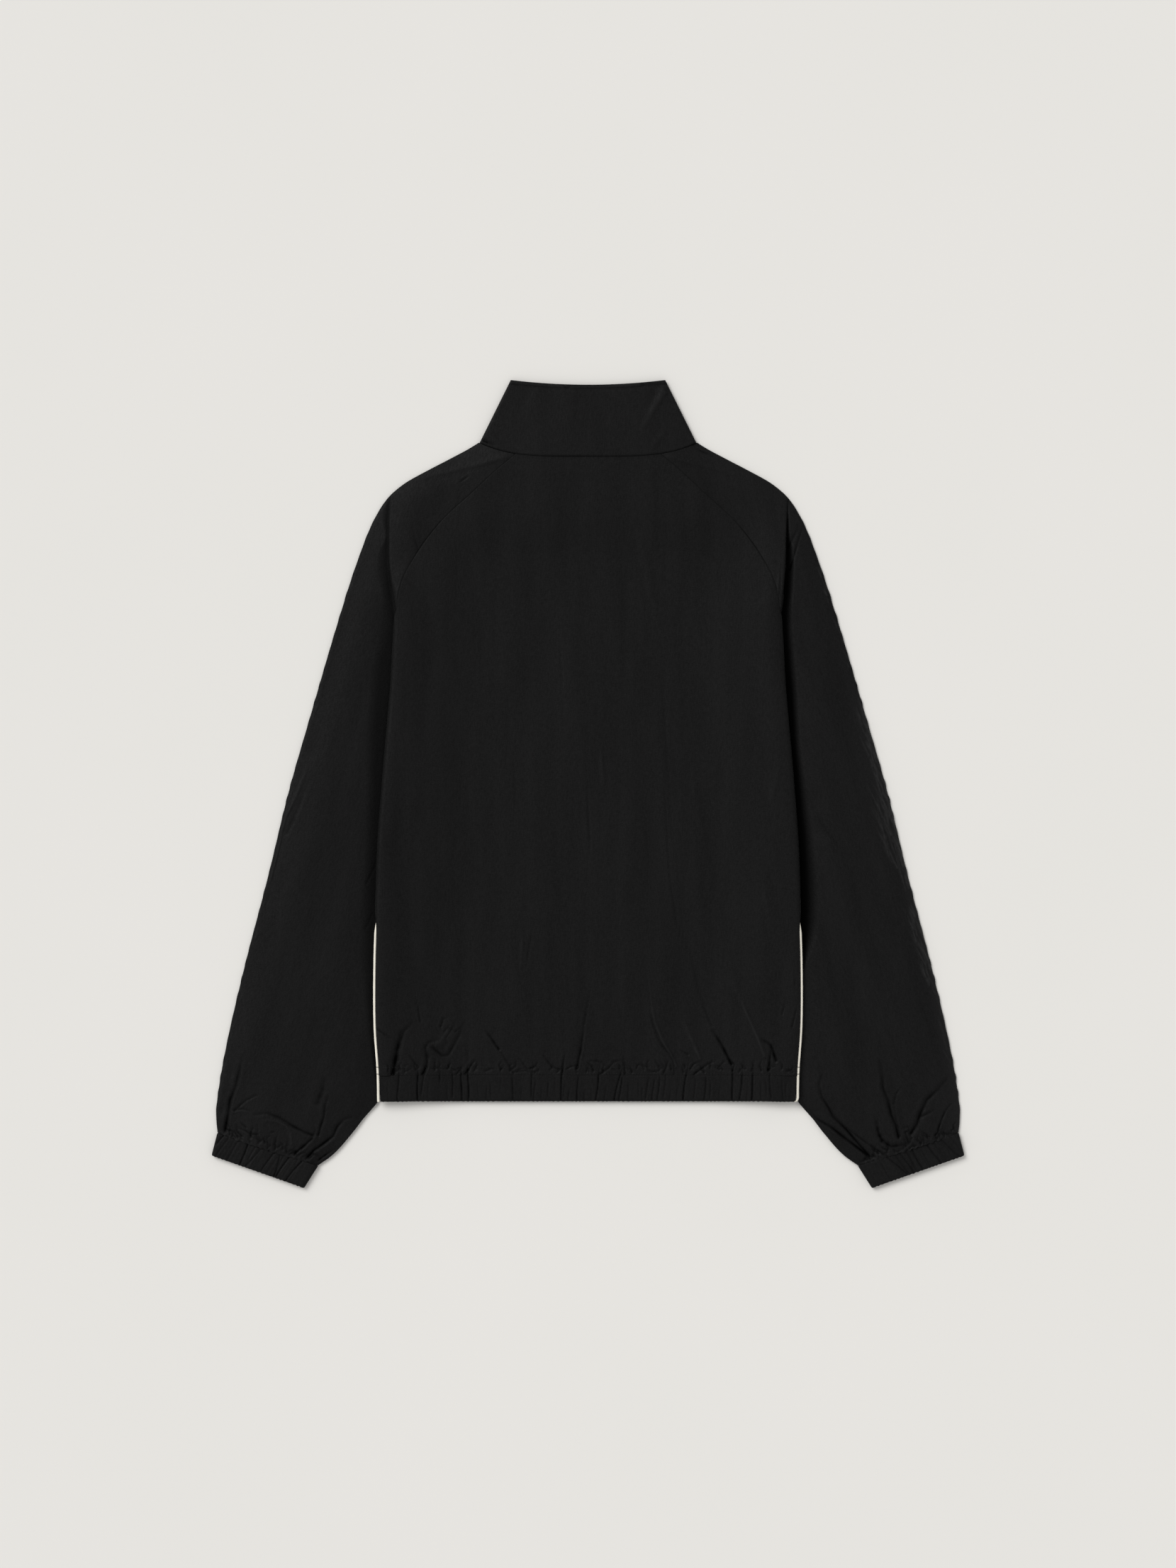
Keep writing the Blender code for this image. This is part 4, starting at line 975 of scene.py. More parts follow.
def sleeve_plan(t, w, half, raglan, neck):
    """Place on a sleeve half at a fraction t from its inner to its outer edge, and edge distances."""
    outer_y = np.interp(w, ROW_SHARES[half], (CUFF_ROW.outer, -285, 100, TOP_ROW.outer))
    inner_y = np.interp(outer_y, [r.outer for r in SLEEVE_ROWS], [getattr(r, half) for r in SLEEVE_ROWS])
    tucked = sleeve_inner(inner_y) - SLEEVE_TUCK(inner_y)
    inner_x = np.where(inner_y <= ARMPIT_Y, tucked, raglan(inner_y) + SEAM_SIDE[half])
    outer_x = sleeve_outer(outer_y)
    x = inner_x + (outer_x - inner_x) * t
    y = inner_y + (outer_y - inner_y) * t
    bend = np.clip((outer_y - NECK_ROW.outer) / (TOP_ROW.outer - NECK_ROW.outer), 0, 1)
    end_y = getattr(TOP_ROW, half)
    end_x = raglan(end_y) + (sleeve_outer(TOP_ROW.outer) - raglan(end_y)) * t
    y = y + bend * bend * (neck(end_x) - end_y - (TOP_ROW.outer - end_y) * t)
    width = np.hypot(outer_x - inner_x, outer_y - inner_y)
    return x, y, t * width, (1 - t) * width, inner_y, outer_y - CUFF_ROW.outer


def sleeve_lift(name, x, y, inner_y, step):
    """The body's lift carried into the sleeve cap, which steps down at the edge of the cap."""
    starts, full = STRAP[name]
    joined = smooth((inner_y - starts) / (full - starts))
    edge = CAP_EDGE[name](y)
    ease = np.clip(edge - raglan_back(np.maximum(y, ARMPIT_Y)), 0, CAP_EASE[name])
    rise = np.where(y <= ARMPIT_Y, 1.0, side_lift(np.minimum(x, side_edge(y)), y) / SIDE_LIFT)
    fall = 0.5 * smooth((x - edge + ease) / (ease + step)) + 0.5 * smooth((x - edge) / step)
    return SIDE_LIFT * rise * (1 - fall) * joined, joined


print("sleeve is", round(float(sleeve_outer(-190) - sleeve_inner(-210))), "mm wide at the forearm")

# %% [markdown]
# The cuffs gather each sleeve into deep slanting folds, which differ from arm to arm, so each sleeve
# has its own table. Small puckers run down the sewn outer edge. They come in runs, each with its own
# count, reach and height, and are drawn at random from the run's own seed.

# %% Sleeve creases
SHOULDER_RIDGE = Crease(-0.9, 3.0, 0, ((86, 345), (140, 332), (190, 320)))
SLEEVE_CREASES = {
    "left": (
        SHOULDER_RIDGE,
        Crease(0.9, 1.3, 0.3, ((128, 324), (136, 318))),
        Crease(0.9, 1.2, 0.4, ((179, 245), (183.4, 261), (186, 274))),
        Crease(1.6, 1.4, 0, ((203, 171), (204, 190), (208.5, 215), (210.5, 245), (210.5, 270),
                             (208.5, 303))),
        Crease(2.8, 2.2, 0.3, ((383.5, -366), (381, -351), (378.5, -334), (372, -318), (365, -288))),
        Crease(1.2, 5.0, 0, ((385, -345), (377, -310), (371, -280))),
        Crease(1.7, 1.2, 0.3, ((373.5, -345), (368, -340), (360, -333.5), (348, -328))),
        Crease(1.2, 1.1, 0.3, ((373.5, -345), (365, -343), (355, -346))),
        Crease(2.0, 1.9, -0.4, ((291, -371), (299, -368), (312.5, -361), (326, -352.5), (339, -347.5),
                                (352, -349))),
        Crease(-0.9, 1.6, 0, ((313, -380), (314, -369), (319, -361), (331, -356), (344, -355))),
        Crease(3.2, 1.6, 0.2, ((309.5, -390), (299.5, -382), (291, -374), (288.5, -366))),
        Crease(1.3, 3.4, 0, ((286, -337), (280.5, -323), (279, -309))),
        Crease(2.3, 1.5, -0.3, ((285, -371), (283, -364), (279, -351), (278, -341), (274.5, -329))),
        Crease(3.2, 2.0, 0.2, ((296, -394), (289.5, -387), (279.5, -380), (269.5, -372), (265, -362),
                               (258, -354), (250, -352))),
        Crease(2.6, 1.4, 0.2, ((284, -397), (274.5, -390.5), (265, -384.5))),
        Crease(1.4, 1.2, 0.3, ((361, -363), (367, -357.5))),
        Crease(1.8, 1.2, -0.3, ((349, -370), (355.5, -370), (362, -366), (369.5, -363.5))),
        Crease(1.1, 1.1, 0.3, ((348, -378), (349, -357.5))),
        Crease(1.1, 1.1, 0.3, ((332, -367.5), (337, -369))),
        Crease(1.3, 1.1, 0.3, ((328, -384), (321, -379))),
        Crease(1.7, 1.3, 0.3, ((309, -388), (315, -390.5), (319, -388))),
        Crease(0.8, 9.0, 0, ((290, 34), (262, 140), (241, 220))),
        Crease(-1.2, 1.8, 0, ((327, -56), (319, -33), (310, -16), (297, 16))),
        Crease(-1.6, 1.3, 0, ((335, -98), (327, -67), (321, -40))),
        Crease(0.8, 2.4, 0.3, ((318, -52), (306, -24), (295, 4))),
        Crease(0.8, 14.0, 0, ((345, -60), (330, -200))),
        Crease(1.1, 1.4, 0.3, ((234, -105), (223.5, -81))),
        Crease(1.0, 1.4, 0.3, ((236, -154), (227, -134))),
    ) + crumples(21, 30, ((292, -399), (388, -368)), (-0.31, 0.95), (4, 13), (0.8, 2.0)),
    "right": (
        SHOULDER_RIDGE,
        Crease(1.4, 1.2, 0.2, ((118, 352.5), (124, 350), (132, 347))),
        Crease(1.5, 1.3, 0.4, ((213.5, 226), (221.5, 255), (228, 276))),
        Crease(1.2, 1.8, 0.3, ((211.5, 250), (218, 263), (224, 274))),
        Crease(-0.6, 1.2, 0, ((200, 200), (203, 236))),
        Crease(-0.5, 1.0, 0, ((204.5, 204), (205.5, 240))),
        Crease(3.0, 1.6, 0.2, ((297, -393), (284.5, -378.5), (272, -364), (259, -351.5), (254.5, -342.5),
                               (247.5, -332), (244, -319), (246.5, -308))),
        Crease(3.2, 1.7, 0.4, ((295, -392), (286, -385), (270, -373), (257.5, -363), (241, -353.5),
                               (226, -337))),
        Crease(1.7, 1.2, 0.3, ((318.5, -394), (304, -386), (286, -373), (270, -360.5), (257.5, -348))),
        Crease(2.5, 1.9, 0.3, ((328, -373), (325, -360.5), (320.5, -350), (317, -335), (311.5, -321),
                               (310.5, -306), (308, -292))),
        Crease(1.3, 1.2, 0.3, ((329, -372), (326, -357), (323, -342))),
        Crease(2.6, 2.6, -0.2, ((311, -377), (307, -369.5), (304, -355))),
        Crease(2.4, 2.0, 0.3, ((311, -377), (320, -383), (333, -381), (337, -380))),
        Crease(2.4, 2.6, 0.3, ((341, -369), (347.5, -359), (351, -348), (358, -333.5), (369, -323),
                               (378, -312.5))),
        Crease(1.5, 1.6, 0.3, ((351, -352), (364.5, -345))),
        Crease(2.3, 1.3, 0.3, ((367, -371), (369, -368.5), (372.5, -357), (378, -344.5), (383.5, -338))),
        Crease(1.7, 1.2, 0.3, ((338.5, -379), (335, -368), (339, -366), (338.5, -362.5), (332, -363))),
        Crease(1.2, 1.1, 0.3, ((323, -338), (325, -328), (331, -319))),
        Crease(1.9, 1.4, 0.3, ((302.5, -393), (284.5, -400))),
        Crease(1.2, 1.1, 0.3, ((354.5, -379), (353.5, -366))),
        Crease(1.2, 1.2, 0.3, ((374, -369.5), (390, -368.5))),
        Crease(0.8, 14.0, 0, ((338, -70), (322, -210))),
        Crease(0.4, 1.8, 0.3, ((264, -66), (246, -40), (230, -12))),
        Crease(0.9, 10.0, 0, ((240, -18), (254, -108))),
        Crease(0.7, 10.0, 0, ((285, -216), (286, -126))),
    ) + crumples(22, 34, ((292, -399), (388, -368)), (-0.31, 0.95), (4, 13), (0.8, 2.0)),
}
PuckerRun = namedtuple("PuckerRun", "seed count high low reach height")
EDGE_PUCKERS = {
    "left": (PuckerRun(5, 26, 120, -350, 9, 0.35),),
    "right": (
        PuckerRun(6, 10, 226, 188, 9, 0.7), PuckerRun(7, 10, 170, 120, 8, 0.5),
        PuckerRun(8, 22, 74, 34, 15, 0.8), PuckerRun(9, 30, 34, -26, 18, 0.8),
        PuckerRun(10, 46, -28, -92, 30, 0.8), PuckerRun(11, 12, -92, -114, 14, 0.8),
        PuckerRun(12, 8, -134, -148, 13, 0.8), PuckerRun(13, 34, -150, -216, 20, 0.8),
        PuckerRun(14, 12, -216, -300, 10, 0.4),
    ),
}


def edge_puckers(run):
    """Short slanting ridges down a sleeve's outer edge, each with its own length and height."""
    draw = np.random.default_rng(run.seed)
    ridges = []
    for k in range(run.count):
        y = run.high + (run.low - run.high) * (k + draw.uniform(0, 1)) / run.count
        reach = run.reach * draw.uniform(0.5, 1.2)
        start = float(sleeve_outer(y)) - draw.uniform(-1, 0.5 * run.reach)
        ridges.append(Crease(-run.height * draw.uniform(0.4, 1.0), draw.uniform(0.7, 1.3), 0,
                             ((start, y), (start - reach * draw.uniform(0.2, 0.6), y + reach))))
    return tuple(ridges)


PUCKERED_EDGE = {name: sum(map(edge_puckers, runs), ()) for name, runs in EDGE_PUCKERS.items()}
print("sleeve creases", {name: len(table) for name, table in SLEEVE_CREASES.items()})

# %% [markdown]
# Beside the body the sleeve dips under the lifted side and lies in shade, as a dark gap on the right
# and a softer band on the left: the shade there is partly cast and partly painted into the dye. A
# table gives the gap's width at heights up the jacket, and a curve runs through it as through an
# outline. The gap is deepest at the body and eases out across its width. On the cap it starts at
# the fold.

# %% Gap beside the body
GapWidth = namedtuple("GapWidth", "y x")
BODY_GAP = {
    "left": curve_through((
        GapWidth(-330, 0.0), GapWidth(-260, 11.0), GapWidth(-172, 19.0), GapWidth(-73, 18.0),
        GapWidth(-15, 17.5), GapWidth(30, 19.0), GapWidth(70, 20.0), GapWidth(160, 15.0),
        GapWidth(200, 10.0), GapWidth(225, 12.5), GapWidth(243, 10.0), GapWidth(262, 3.0),
        GapWidth(280, 7.5), GapWidth(304, 4.0))),
    "right": curve_through((
        GapWidth(-220, 0.0), GapWidth(-195, 8.0), GapWidth(-155, 21.0), GapWidth(-60, 21.0),
        GapWidth(0, 14.5), GapWidth(30, 11.5), GapWidth(160, 12.0), GapWidth(225, 9.5),
        GapWidth(248, 7.5), GapWidth(262, 4.2), GapWidth(304, 1.6))),
}
CAP_GAP_FLAT = {"left": 0.0, "right": 0.45}
GAP_FLAT, GAP_FLAT_ENDS, GAP_FLAT_FADE = 0.45, 175.0, 55.0
NO_GAP, NARROW_GAP, GAP_ENDS = 0.01, 3.0, 1.2
GAP_TOP_Y, GAP_TOP_FADE = 310.0, 8.0
CAP_STEP = 1.5


def body_gap(name, x, y, inner_y):
    """How deep in the gap beside the body the cloth lies, from 0 to 1."""
    beyond = x - CAP_EDGE[name](np.minimum(y, SHOULDER_Y))
    width = np.maximum(BODY_GAP[name](np.minimum(y, SHOULDER_Y)), NO_GAP)
    flat = CAP_GAP_FLAT[name]
    flat = flat + (GAP_FLAT - flat) * smooth((GAP_FLAT_ENDS - y) / GAP_FLAT_FADE)
    gap = 1 - smooth((beyond / width - flat) / (GAP_ENDS - flat))
    gap = gap * smooth(width / NARROW_GAP) * smooth((GAP_TOP_Y - y) / GAP_TOP_FADE)
    return gap * np.where(inner_y > STRAP[name][0], smooth(beyond / CAP_STEP), 1.0)


print("gap at the waist", {name: round(float(width(-60.0)), 1) for name, width in BODY_GAP.items()}, "mm")

# %% [markdown]
# The backs of the sleeves are the halves that show. Each has the height of a flat tube with its
# creases, and sinks into the gap beside the body. Shade is painted into its creases, seams and the
# gap, and a highlight is painted on the puckered outer edge. At the cuff the cloth laps unevenly
# over the seam.

# %% Sleeve backs
SLEEVE_GRID = (140, 560)
GAP_SHARE = {"left": 0.5, "right": 1.0}
# Shade painted into the gap beside the body, on each side.
GAP_SHADE = {"left": 0.5, "right": 0.95}
CREASE_CLEAR, RIDGE_CLEAR = 7.0, 2.0
LOWEST_SLEEVE = 2.4
SLEEVE_EDGE_ROLL = 4.0
SLEEVE_EDGE_Z = 1.6
# Highlight painted on the ridges of the puckered edge, and in a band along the right sleeve's outer edge.
EDGE_RIDGE_HIGHLIGHT = 4.5
EDGE_HIGHLIGHT = {"left": 0.0, "right": 0.24}
HIGHLIGHT_REACH, HIGHLIGHT_TOP_Y, HIGHLIGHT_FADE = 8.0, 120.0, 60.0
SCALLOP = {"left": 0.35, "right": 0.6}
SCALLOP_WAVE, SCALLOP_REACH, SCALLOP_TOP_Y, SCALLOP_FADE = 3.1, 5.0, 300.0, 60.0
CUFF_LAP, LAP_REACH, LAP_ENDS = 1.1, 6.0, 3.0
LAP_WAVE, LAP_UNEVEN, LAP_BULGE = 1.05, 0.9, 0.3


def sleeve_stack(x, y, inside, outside, joined):
    """Height of the flat tube, which meets the body's height where it is joined to it."""
    inner_stack = FLAT_STACK + (body_stack(x, y) - FLAT_STACK) * joined
    loft = np.maximum(SLEEVE_STACK, inner_stack)
    stack = inner_stack + (loft - inner_stack) * crown(inside / SLEEVE_INNER_SLOPE)
    shoulder = smooth((y - SHOULDER_SLOPE_STARTS) / (SHOULDER_Y - SHOULDER_SLOPE_STARTS))
    slope = SLEEVE_OUTER_SLOPE + (SHOULDER_SLOPE - SLEEVE_OUTER_SLOPE) * shoulder
    return FLAT_STACK + (stack - FLAT_STACK) * crown(outside / slope)


def sleeve_back_surface(name):
    def surface(u, w):
        t = np.interp(u, (0, 0.12, 0.86, 1), (0, 0.06, 0.93, 1))
        x, y, inside, outside, inner_y, from_cuff = sleeve_plan(
            t, w, "back", raglan_back, lambda x: neck_back(x) - HIDDEN_SEAM)
        lift, joined = sleeve_lift(name, x, y, inner_y, CAP_STEP)
        stack = sleeve_stack(x, y, inside, outside, joined)
        free = 1 - smooth((inner_y - SLEEVE_FREE_Y) / (ARMPIT_Y - SLEEVE_FREE_Y))
        clear = smooth(outside / CREASE_CLEAR) * (1 - free * (1 - smooth(inside / CREASE_CLEAR)))
        creases, painted_shading = folded(x, y, SLEEVE_CREASES[name])
        ridges, painted_highlight = folded(x, y, PUCKERED_EDGE[name])
        waves = swell(0.9 * x + 0.25 * y, 0.97 * y - 0.25 * x, phase=1.7)
        detail = (creases + waves) * clear + ridges * smooth(outside / RIDGE_CLEAR)
        z = lift + np.maximum(stack + detail, LOWEST_SLEEVE)
        gap = body_gap(name, x, y, inner_y)
        z = z - (z - lift - LOWEST_SLEEVE) * gap * GAP_SHARE[name]
        z = z - (z - SLEEVE_EDGE_Z) * (1 - quarter(outside / SLEEVE_EDGE_ROLL))
        seams = (1 - free) * bell(inside, SEAM_REACH) * smooth(outside / CREASE_CLEAR)
        scallop = SCALLOP[name] * puckers(y / SCALLOP_WAVE, 1.1) * np.exp(-outside / SCALLOP_REACH)
        scallop = scallop * smooth((SCALLOP_TOP_Y - y) / SCALLOP_FADE)
        edge_highlight = EDGE_HIGHLIGHT[name] * np.exp(-outside / HIGHLIGHT_REACH) * smooth((HIGHLIGHT_TOP_Y - y) / HIGHLIGHT_FADE)
        highlight_tone = EDGE_RIDGE_HIGHLIGHT * painted_highlight - edge_highlight
        # Painted shade in the creases, along the seam and in the gap beside the body; painted highlight on
        # the edge's ridges and along the right sleeve's outer edge.
        dark = np.clip(painted_shading * clear + SEAM_SHADE * seams + GAP_SHADE[name] * gap + highlight_tone, -1, 1)
        uneven = puckers(x / LAP_WAVE, 0.7)
        lap = (1 - smooth(from_cuff / LAP_REACH)) * smooth(outside / LAP_ENDS) * smooth(inside / LAP_ENDS)
        z = z + LAP_BULGE * uneven * lap - 2 * SEAM_DIP * seams
        return x + scallop + LAP_BULGE * lap, y - CUFF_LAP * (1 + LAP_UNEVEN * uneven) * lap, z, dark

    return surface


for name, side in SIDES.items():
    made = panel("sleeve_back_panel_" + name, *SLEEVE_GRID, sleeve_back_surface(name), NYLON[name],
                 side=side)
    dress(made, "sleeve_back_" + name)
    print(made.name, len(made.data.polygons), "faces")

# %% [markdown]
# The fronts of the sleeves lie on the floor below the backs, on the same plan, with a few soft folds
# pressed in from below. By the cap they stay low until close to the seam, so that they don't come
# up through the gap beside the body.

# %% Sleeve fronts
FRONT_STEP_IN, FRONT_STEP_REACH, FRONT_STEP = 14.0, 7.0, 4.0
UNDER_GRID = (72, 192)
PRESS_REACH = 15.0
UNDER_CREASES = (
    Crease(-1.0, 4.0, 0, ((300, -392), (286, -352))), Crease(-1.1, 3.6, 0, ((330, -382), (328, -340))),
    Crease(-0.9, 3.6, 0, ((362, -373), (352, -330))), Crease(-0.6, 9.0, 0, ((300, -120), (270, 40))),
)


def sleeve_front_surface(name):
    def surface(u, w):
        t = np.interp(u, (0, 0.9, 1), (0, 0.95, 1))
        x, y, inside, outside, inner_y, _ = sleeve_plan(t, w, "front", raglan_front, neck_front)
        step_in = FRONT_STEP_IN * smooth(inside / FRONT_STEP_REACH)
        lift, _ = sleeve_lift(name, x + step_in, y, inner_y - FRONT_STEP_IN, FRONT_STEP)
        press, _ = folded(x, y, UNDER_CREASES)
        return x, y, lift + press * smooth(inside / PRESS_REACH) * smooth(outside / PRESS_REACH), 0.0

    return surface


for name, side in SIDES.items():
    made = panel("sleeve_front_panel_" + name, *UNDER_GRID, sleeve_front_surface(name), NYLON[name],
                 wall=-CLOTH, side=side)
    dress(made, "sleeve_front_" + name)
    print(made.name, len(made.data.polygons), "faces")

# %% [markdown]
# The hem is a casing: cloth folded round a wide elastic and sewn along its top. The hem's creases
# cross it, and they scallop its edge. Its lower edge is a fold, so it is round. The upper half is one
# piece between the side seams, and the lower half has a piece on each side of the zip.

# %% Hem casings
CASING = 2.8
CASING_GAP = 0.4
THINNEST_CASING = 0.5
HEM_FOLD = 2.6
FOLD_SHARE = 0.35
HEM_CORNER, HEM_ROUND = 3.2, 5.0
HEM_SCALLOP, HEM_SCALLOP_STARTS = 0.3, 0.8
SCALLOP_PITCH = 4.6
UNDER_GATHERS = 0.6
TAPE_OUTER = 10.0
HEM_GRID = {"back": (640, 22), "front": (240, 14)}


def hem_edge(y):
    """Half the width of the casing, which stops short of the piping."""
    return body_side(y) - 2 * PIPING_RADIUS - SEAM


def corner_round(y):
    """How far the right lower corner of the hem is rounded off."""
    return HEM_CORNER * (1 - quarter((y - HEM_Y) / HEM_ROUND))


def hem_row(w):
    """Height of a row of the casing, with the rows closest at its two edges."""
    return HEM_SEAM_Y + (HEM_Y - HEM_SEAM_Y) * np.interp(w, (0, 0.15, 0.7, 1), (0, 0.08, 0.88, 1))


def hem_plan(u, w):
    y = hem_row(w)
    across = 2 * u - 1
    x = across * (hem_edge(y) - corner_round(y) * (across > 0))
    low = side_lift(x, y) + CASING + CASING_GAP
    by_edge = smooth((w - HEM_SCALLOP_STARTS) / (1 - HEM_SCALLOP_STARTS))
    return x, y - HEM_SCALLOP * puckers(2 * math.pi * x / SCALLOP_PITCH, 2.0) * by_edge, low


def hem_back_surface(u, w):
    x, y, low = hem_plan(u, w)
    full = quarter((hem_row(w) - HEM_Y) / HEM_FOLD)
    gathers, painted_mark = hem_gathers(x, np.minimum(y, HEM_SEAM_Y))
    seam = bell(y - HEM_SEAM_Y, SEAM_REACH)
    top = back_lift(x, y) + 2 * CASING + CASING_GAP + gathers
    thick = np.maximum(top, low + THINNEST_CASING) - low
    z = low + thick * (FOLD_SHARE + (1 - FOLD_SHARE) * full) - SEAM_DIP * seam
    # Shade painted into the hem's creases and along its seam.
    return x, y, z, np.clip(painted_mark * full + SEAM_SHADE * seam, 0, 1)


dress(band("hem_casing_back", *HEM_GRID["back"], hem_back_surface, NYLON["casing"], under=hem_plan),
      "hem_back")


def hem_front_plan(u, w):
    y = hem_row(w)
    x = TAPE_OUTER + CASING_GAP + (hem_edge(y) - TAPE_OUTER - CASING_GAP) * u
    return x, y, side_lift(x, y) + CASING


def hem_front_surface(u, w):
    x, y, top = hem_front_plan(u, w)
    full = quarter((y - HEM_Y) / HEM_FOLD)
    gathers, painted_mark = hem_gathers(x, np.minimum(y, HEM_SEAM_Y))
    thick = CASING * (FOLD_SHARE + (1 - FOLD_SHARE) * full)
    # Shade painted into the hem's creases.
    return x, y, top - thick - UNDER_GATHERS * gathers * full, painted_mark * full


for name, side in SIDES.items():
    made = band("hem_casing_" + name, *HEM_GRID["front"], hem_front_surface, NYLON["casing"], side=side,
                under=hem_front_plan)
    dress(made, "hem_front_" + name)
    print(made.name, len(made.data.polygons), "faces")

# %% [markdown]
# A cuff is the same casing sewn into a ring, then laid flat: an upper and a lower run with a round
# turn at each end. It leans as the sleeve does, so its upper and lower edges are given by the places
# of their ends. The ring is worked out at some reach from its middle line, and serves for its outer
# face and for the slit inside it.

# %% Cuff rings
CUFF_TOP = (np.array((285.0, -403.0)), np.array((391.9, -368.3)))
CUFF_BOTTOM = (np.array((300.0, -427.0)), np.array((398.0, -392.6)))
CUFF_RADIUS = CASING + CASING_GAP / 2
CUFF_SLIT = 0.5
CUFF_STOPS = (0, 0.66, 0.74, 0.92, 1)


def cuff_run(h):
    """Inner end of the cuff at a share h of its height, the way to its outer end, and the length."""
    start = CUFF_TOP[0] + (CUFF_BOTTOM[0] - CUFF_TOP[0]) * h[..., None]
    run = CUFF_TOP[1] + (CUFF_BOTTOM[1] - CUFF_TOP[1]) * h[..., None] - start
    length = np.linalg.norm(run, axis=-1, keepdims=True)
    return start, run / length, length


def cuff_ring(u, w, reach):
    """Place on the flattened ring at some reach from its middle line."""
    lap = u % 1.0
    h = np.interp(w, (0, 0.2, 0.75, 1), (0, 0.1, 0.88, 1))
    s = np.interp(lap, CUFF_STOPS, (0, 1, 1, 0, 0))
    swing = np.radians(np.interp(lap, CUFF_STOPS, (90, 90, -90, -90, -270)))
    start, run, length = cuff_run(h)
    middle = start + run * (CUFF_RADIUS + (length - 2 * CUFF_RADIUS) * s[..., None])
    place = middle + run * (reach(h) * np.cos(swing))[..., None]
    return place, CUFF_RADIUS + reach(h) * np.sin(swing), h, s * length[..., 0], np.sin(swing)


def cuff_under(u, w):
    place, z, h, _, _ = cuff_ring(u, w, lambda h: np.full(h.shape, CUFF_SLIT))
    return place[..., 0], place[..., 1] - SEAM * (1 - h), z


print("cuff is", round(2 * CUFF_RADIUS, 1), "mm high when laid flat")

# %% [markdown]
# Each crease of a cuff has a place along its upper edge, one along its lower edge, both counted from
# the inner to the outer end, and a depth. The upper run alone is creased, because the lower one is
# pressed against the floor. Fine gathers fill the rest, and the elastic scallops the lower edge.

# %% Cuffs
CuffCrease = namedtuple("CuffCrease", "top bottom depth")
CUFF_CREASES = {
    "left": (
        CuffCrease(0.953, 0.984, 1.3), CuffCrease(0.90, 0.91, 0.4), CuffCrease(0.80, 0.79, 0.3),
        CuffCrease(0.703, 0.652, 1.2), CuffCrease(0.62, 0.60, 0.3), CuffCrease(0.56, 0.594, 0.7),
        CuffCrease(0.428, 0.436, 0.8), CuffCrease(0.364, 0.293, 0.9), CuffCrease(0.32, 0.30, 0.4),
        CuffCrease(0.274, 0.277, 1.2), CuffCrease(0.138, 0.176, 1.2),
    ),
    "right": (
        CuffCrease(0.19, 0.18, 0.3), CuffCrease(0.271, 0.356, 0.9), CuffCrease(0.346, 0.374, 0.6),
        CuffCrease(0.407, 0.421, 0.7), CuffCrease(0.469, 0.455, 0.6), CuffCrease(0.53, 0.512, 0.9),
        CuffCrease(0.60, 0.60, 0.35), CuffCrease(0.681, 0.71, 0.8), CuffCrease(0.76, 0.77, 0.3),
        CuffCrease(0.834, 0.902, 0.7), CuffCrease(0.93, 0.95, 0.3),
    ),
}
CUFF_CREASE_WIDTH = 0.9
CREASE_WANDER = 0.4
# Deepest dent, and the dent at which the shade painted into a crease is full.
DEEPEST_DENT, FULL_SHADE_DENT = 1.9, 2.2
FINE_DENT = 0.12
CREASES_START, CREASES_END = 0.05, 0.06
CUFF_TURN, CUFF_TURN_SHARE = 0.7, 0.08
CUFF_SCALLOP, CUFF_SCALLOP_STARTS, CUFF_HEIGHT = 0.4, 0.85, 25.0
# Shade painted along the cuff's seam.
CUFF_SEAM_SHADE, CUFF_SEAM_SHARE = 0.35, 0.06
CUFF_GRID = (240, 20)


def cuff_surface(name):
    def reach(h):
        turned = quarter(h / CUFF_TURN_SHARE) * quarter((1 - h) / CUFF_TURN_SHARE)
        return CUFF_RADIUS - CUFF_TURN * (1 - turned)

    def surface(u, w):
        place, z, h, along, facing = cuff_ring(u, w, reach)
        upper = smooth(facing) * smooth(h / CREASES_START) * smooth((1 - h) / CREASES_END)
        dent = np.zeros(h.shape)
        for crease in CUFF_CREASES[name]:
            share = crease.top + (crease.bottom - crease.top) * h
            middle = share * along.max() + CREASE_WANDER * np.sin(5 * h + 40 * crease.top)
            dent = dent + crease.depth * bell(along - middle, CUFF_CREASE_WIDTH)
        turns = 2 * math.pi * along / SCALLOP_PITCH
        dent = np.minimum(dent + FINE_DENT * puckers(turns, 1.4), DEEPEST_DENT)
        by_edge = smooth((h - CUFF_SCALLOP_STARTS) / (1 - CUFF_SCALLOP_STARTS))
        scallop = CUFF_SCALLOP * puckers(turns, 0.5) * by_edge
        place = place + (CUFF_BOTTOM[1] - CUFF_TOP[1]) * (scallop / CUFF_HEIGHT)[..., None]
        seam = (1 - smooth(h / CUFF_SEAM_SHARE)) * smooth(facing)
        # Shade painted into the creases of the upper run and along the seam at its upper edge.
        dark = np.clip(dent / FULL_SHADE_DENT * upper + CUFF_SEAM_SHADE * seam, 0, 1)
        return place[..., 0], place[..., 1] - SEAM * (1 - h), z - dent * upper, dark

    return surface


for name, side in SIDES.items():
    cuff = band("cuff_casing_" + name, *CUFF_GRID, cuff_surface(name), NYLON[name], side=side, ring=True,
                under=cuff_under)
    dress(cuff, "cuff_" + name)
    print(cuff.name, len(CUFF_CREASES[name]), "creases")
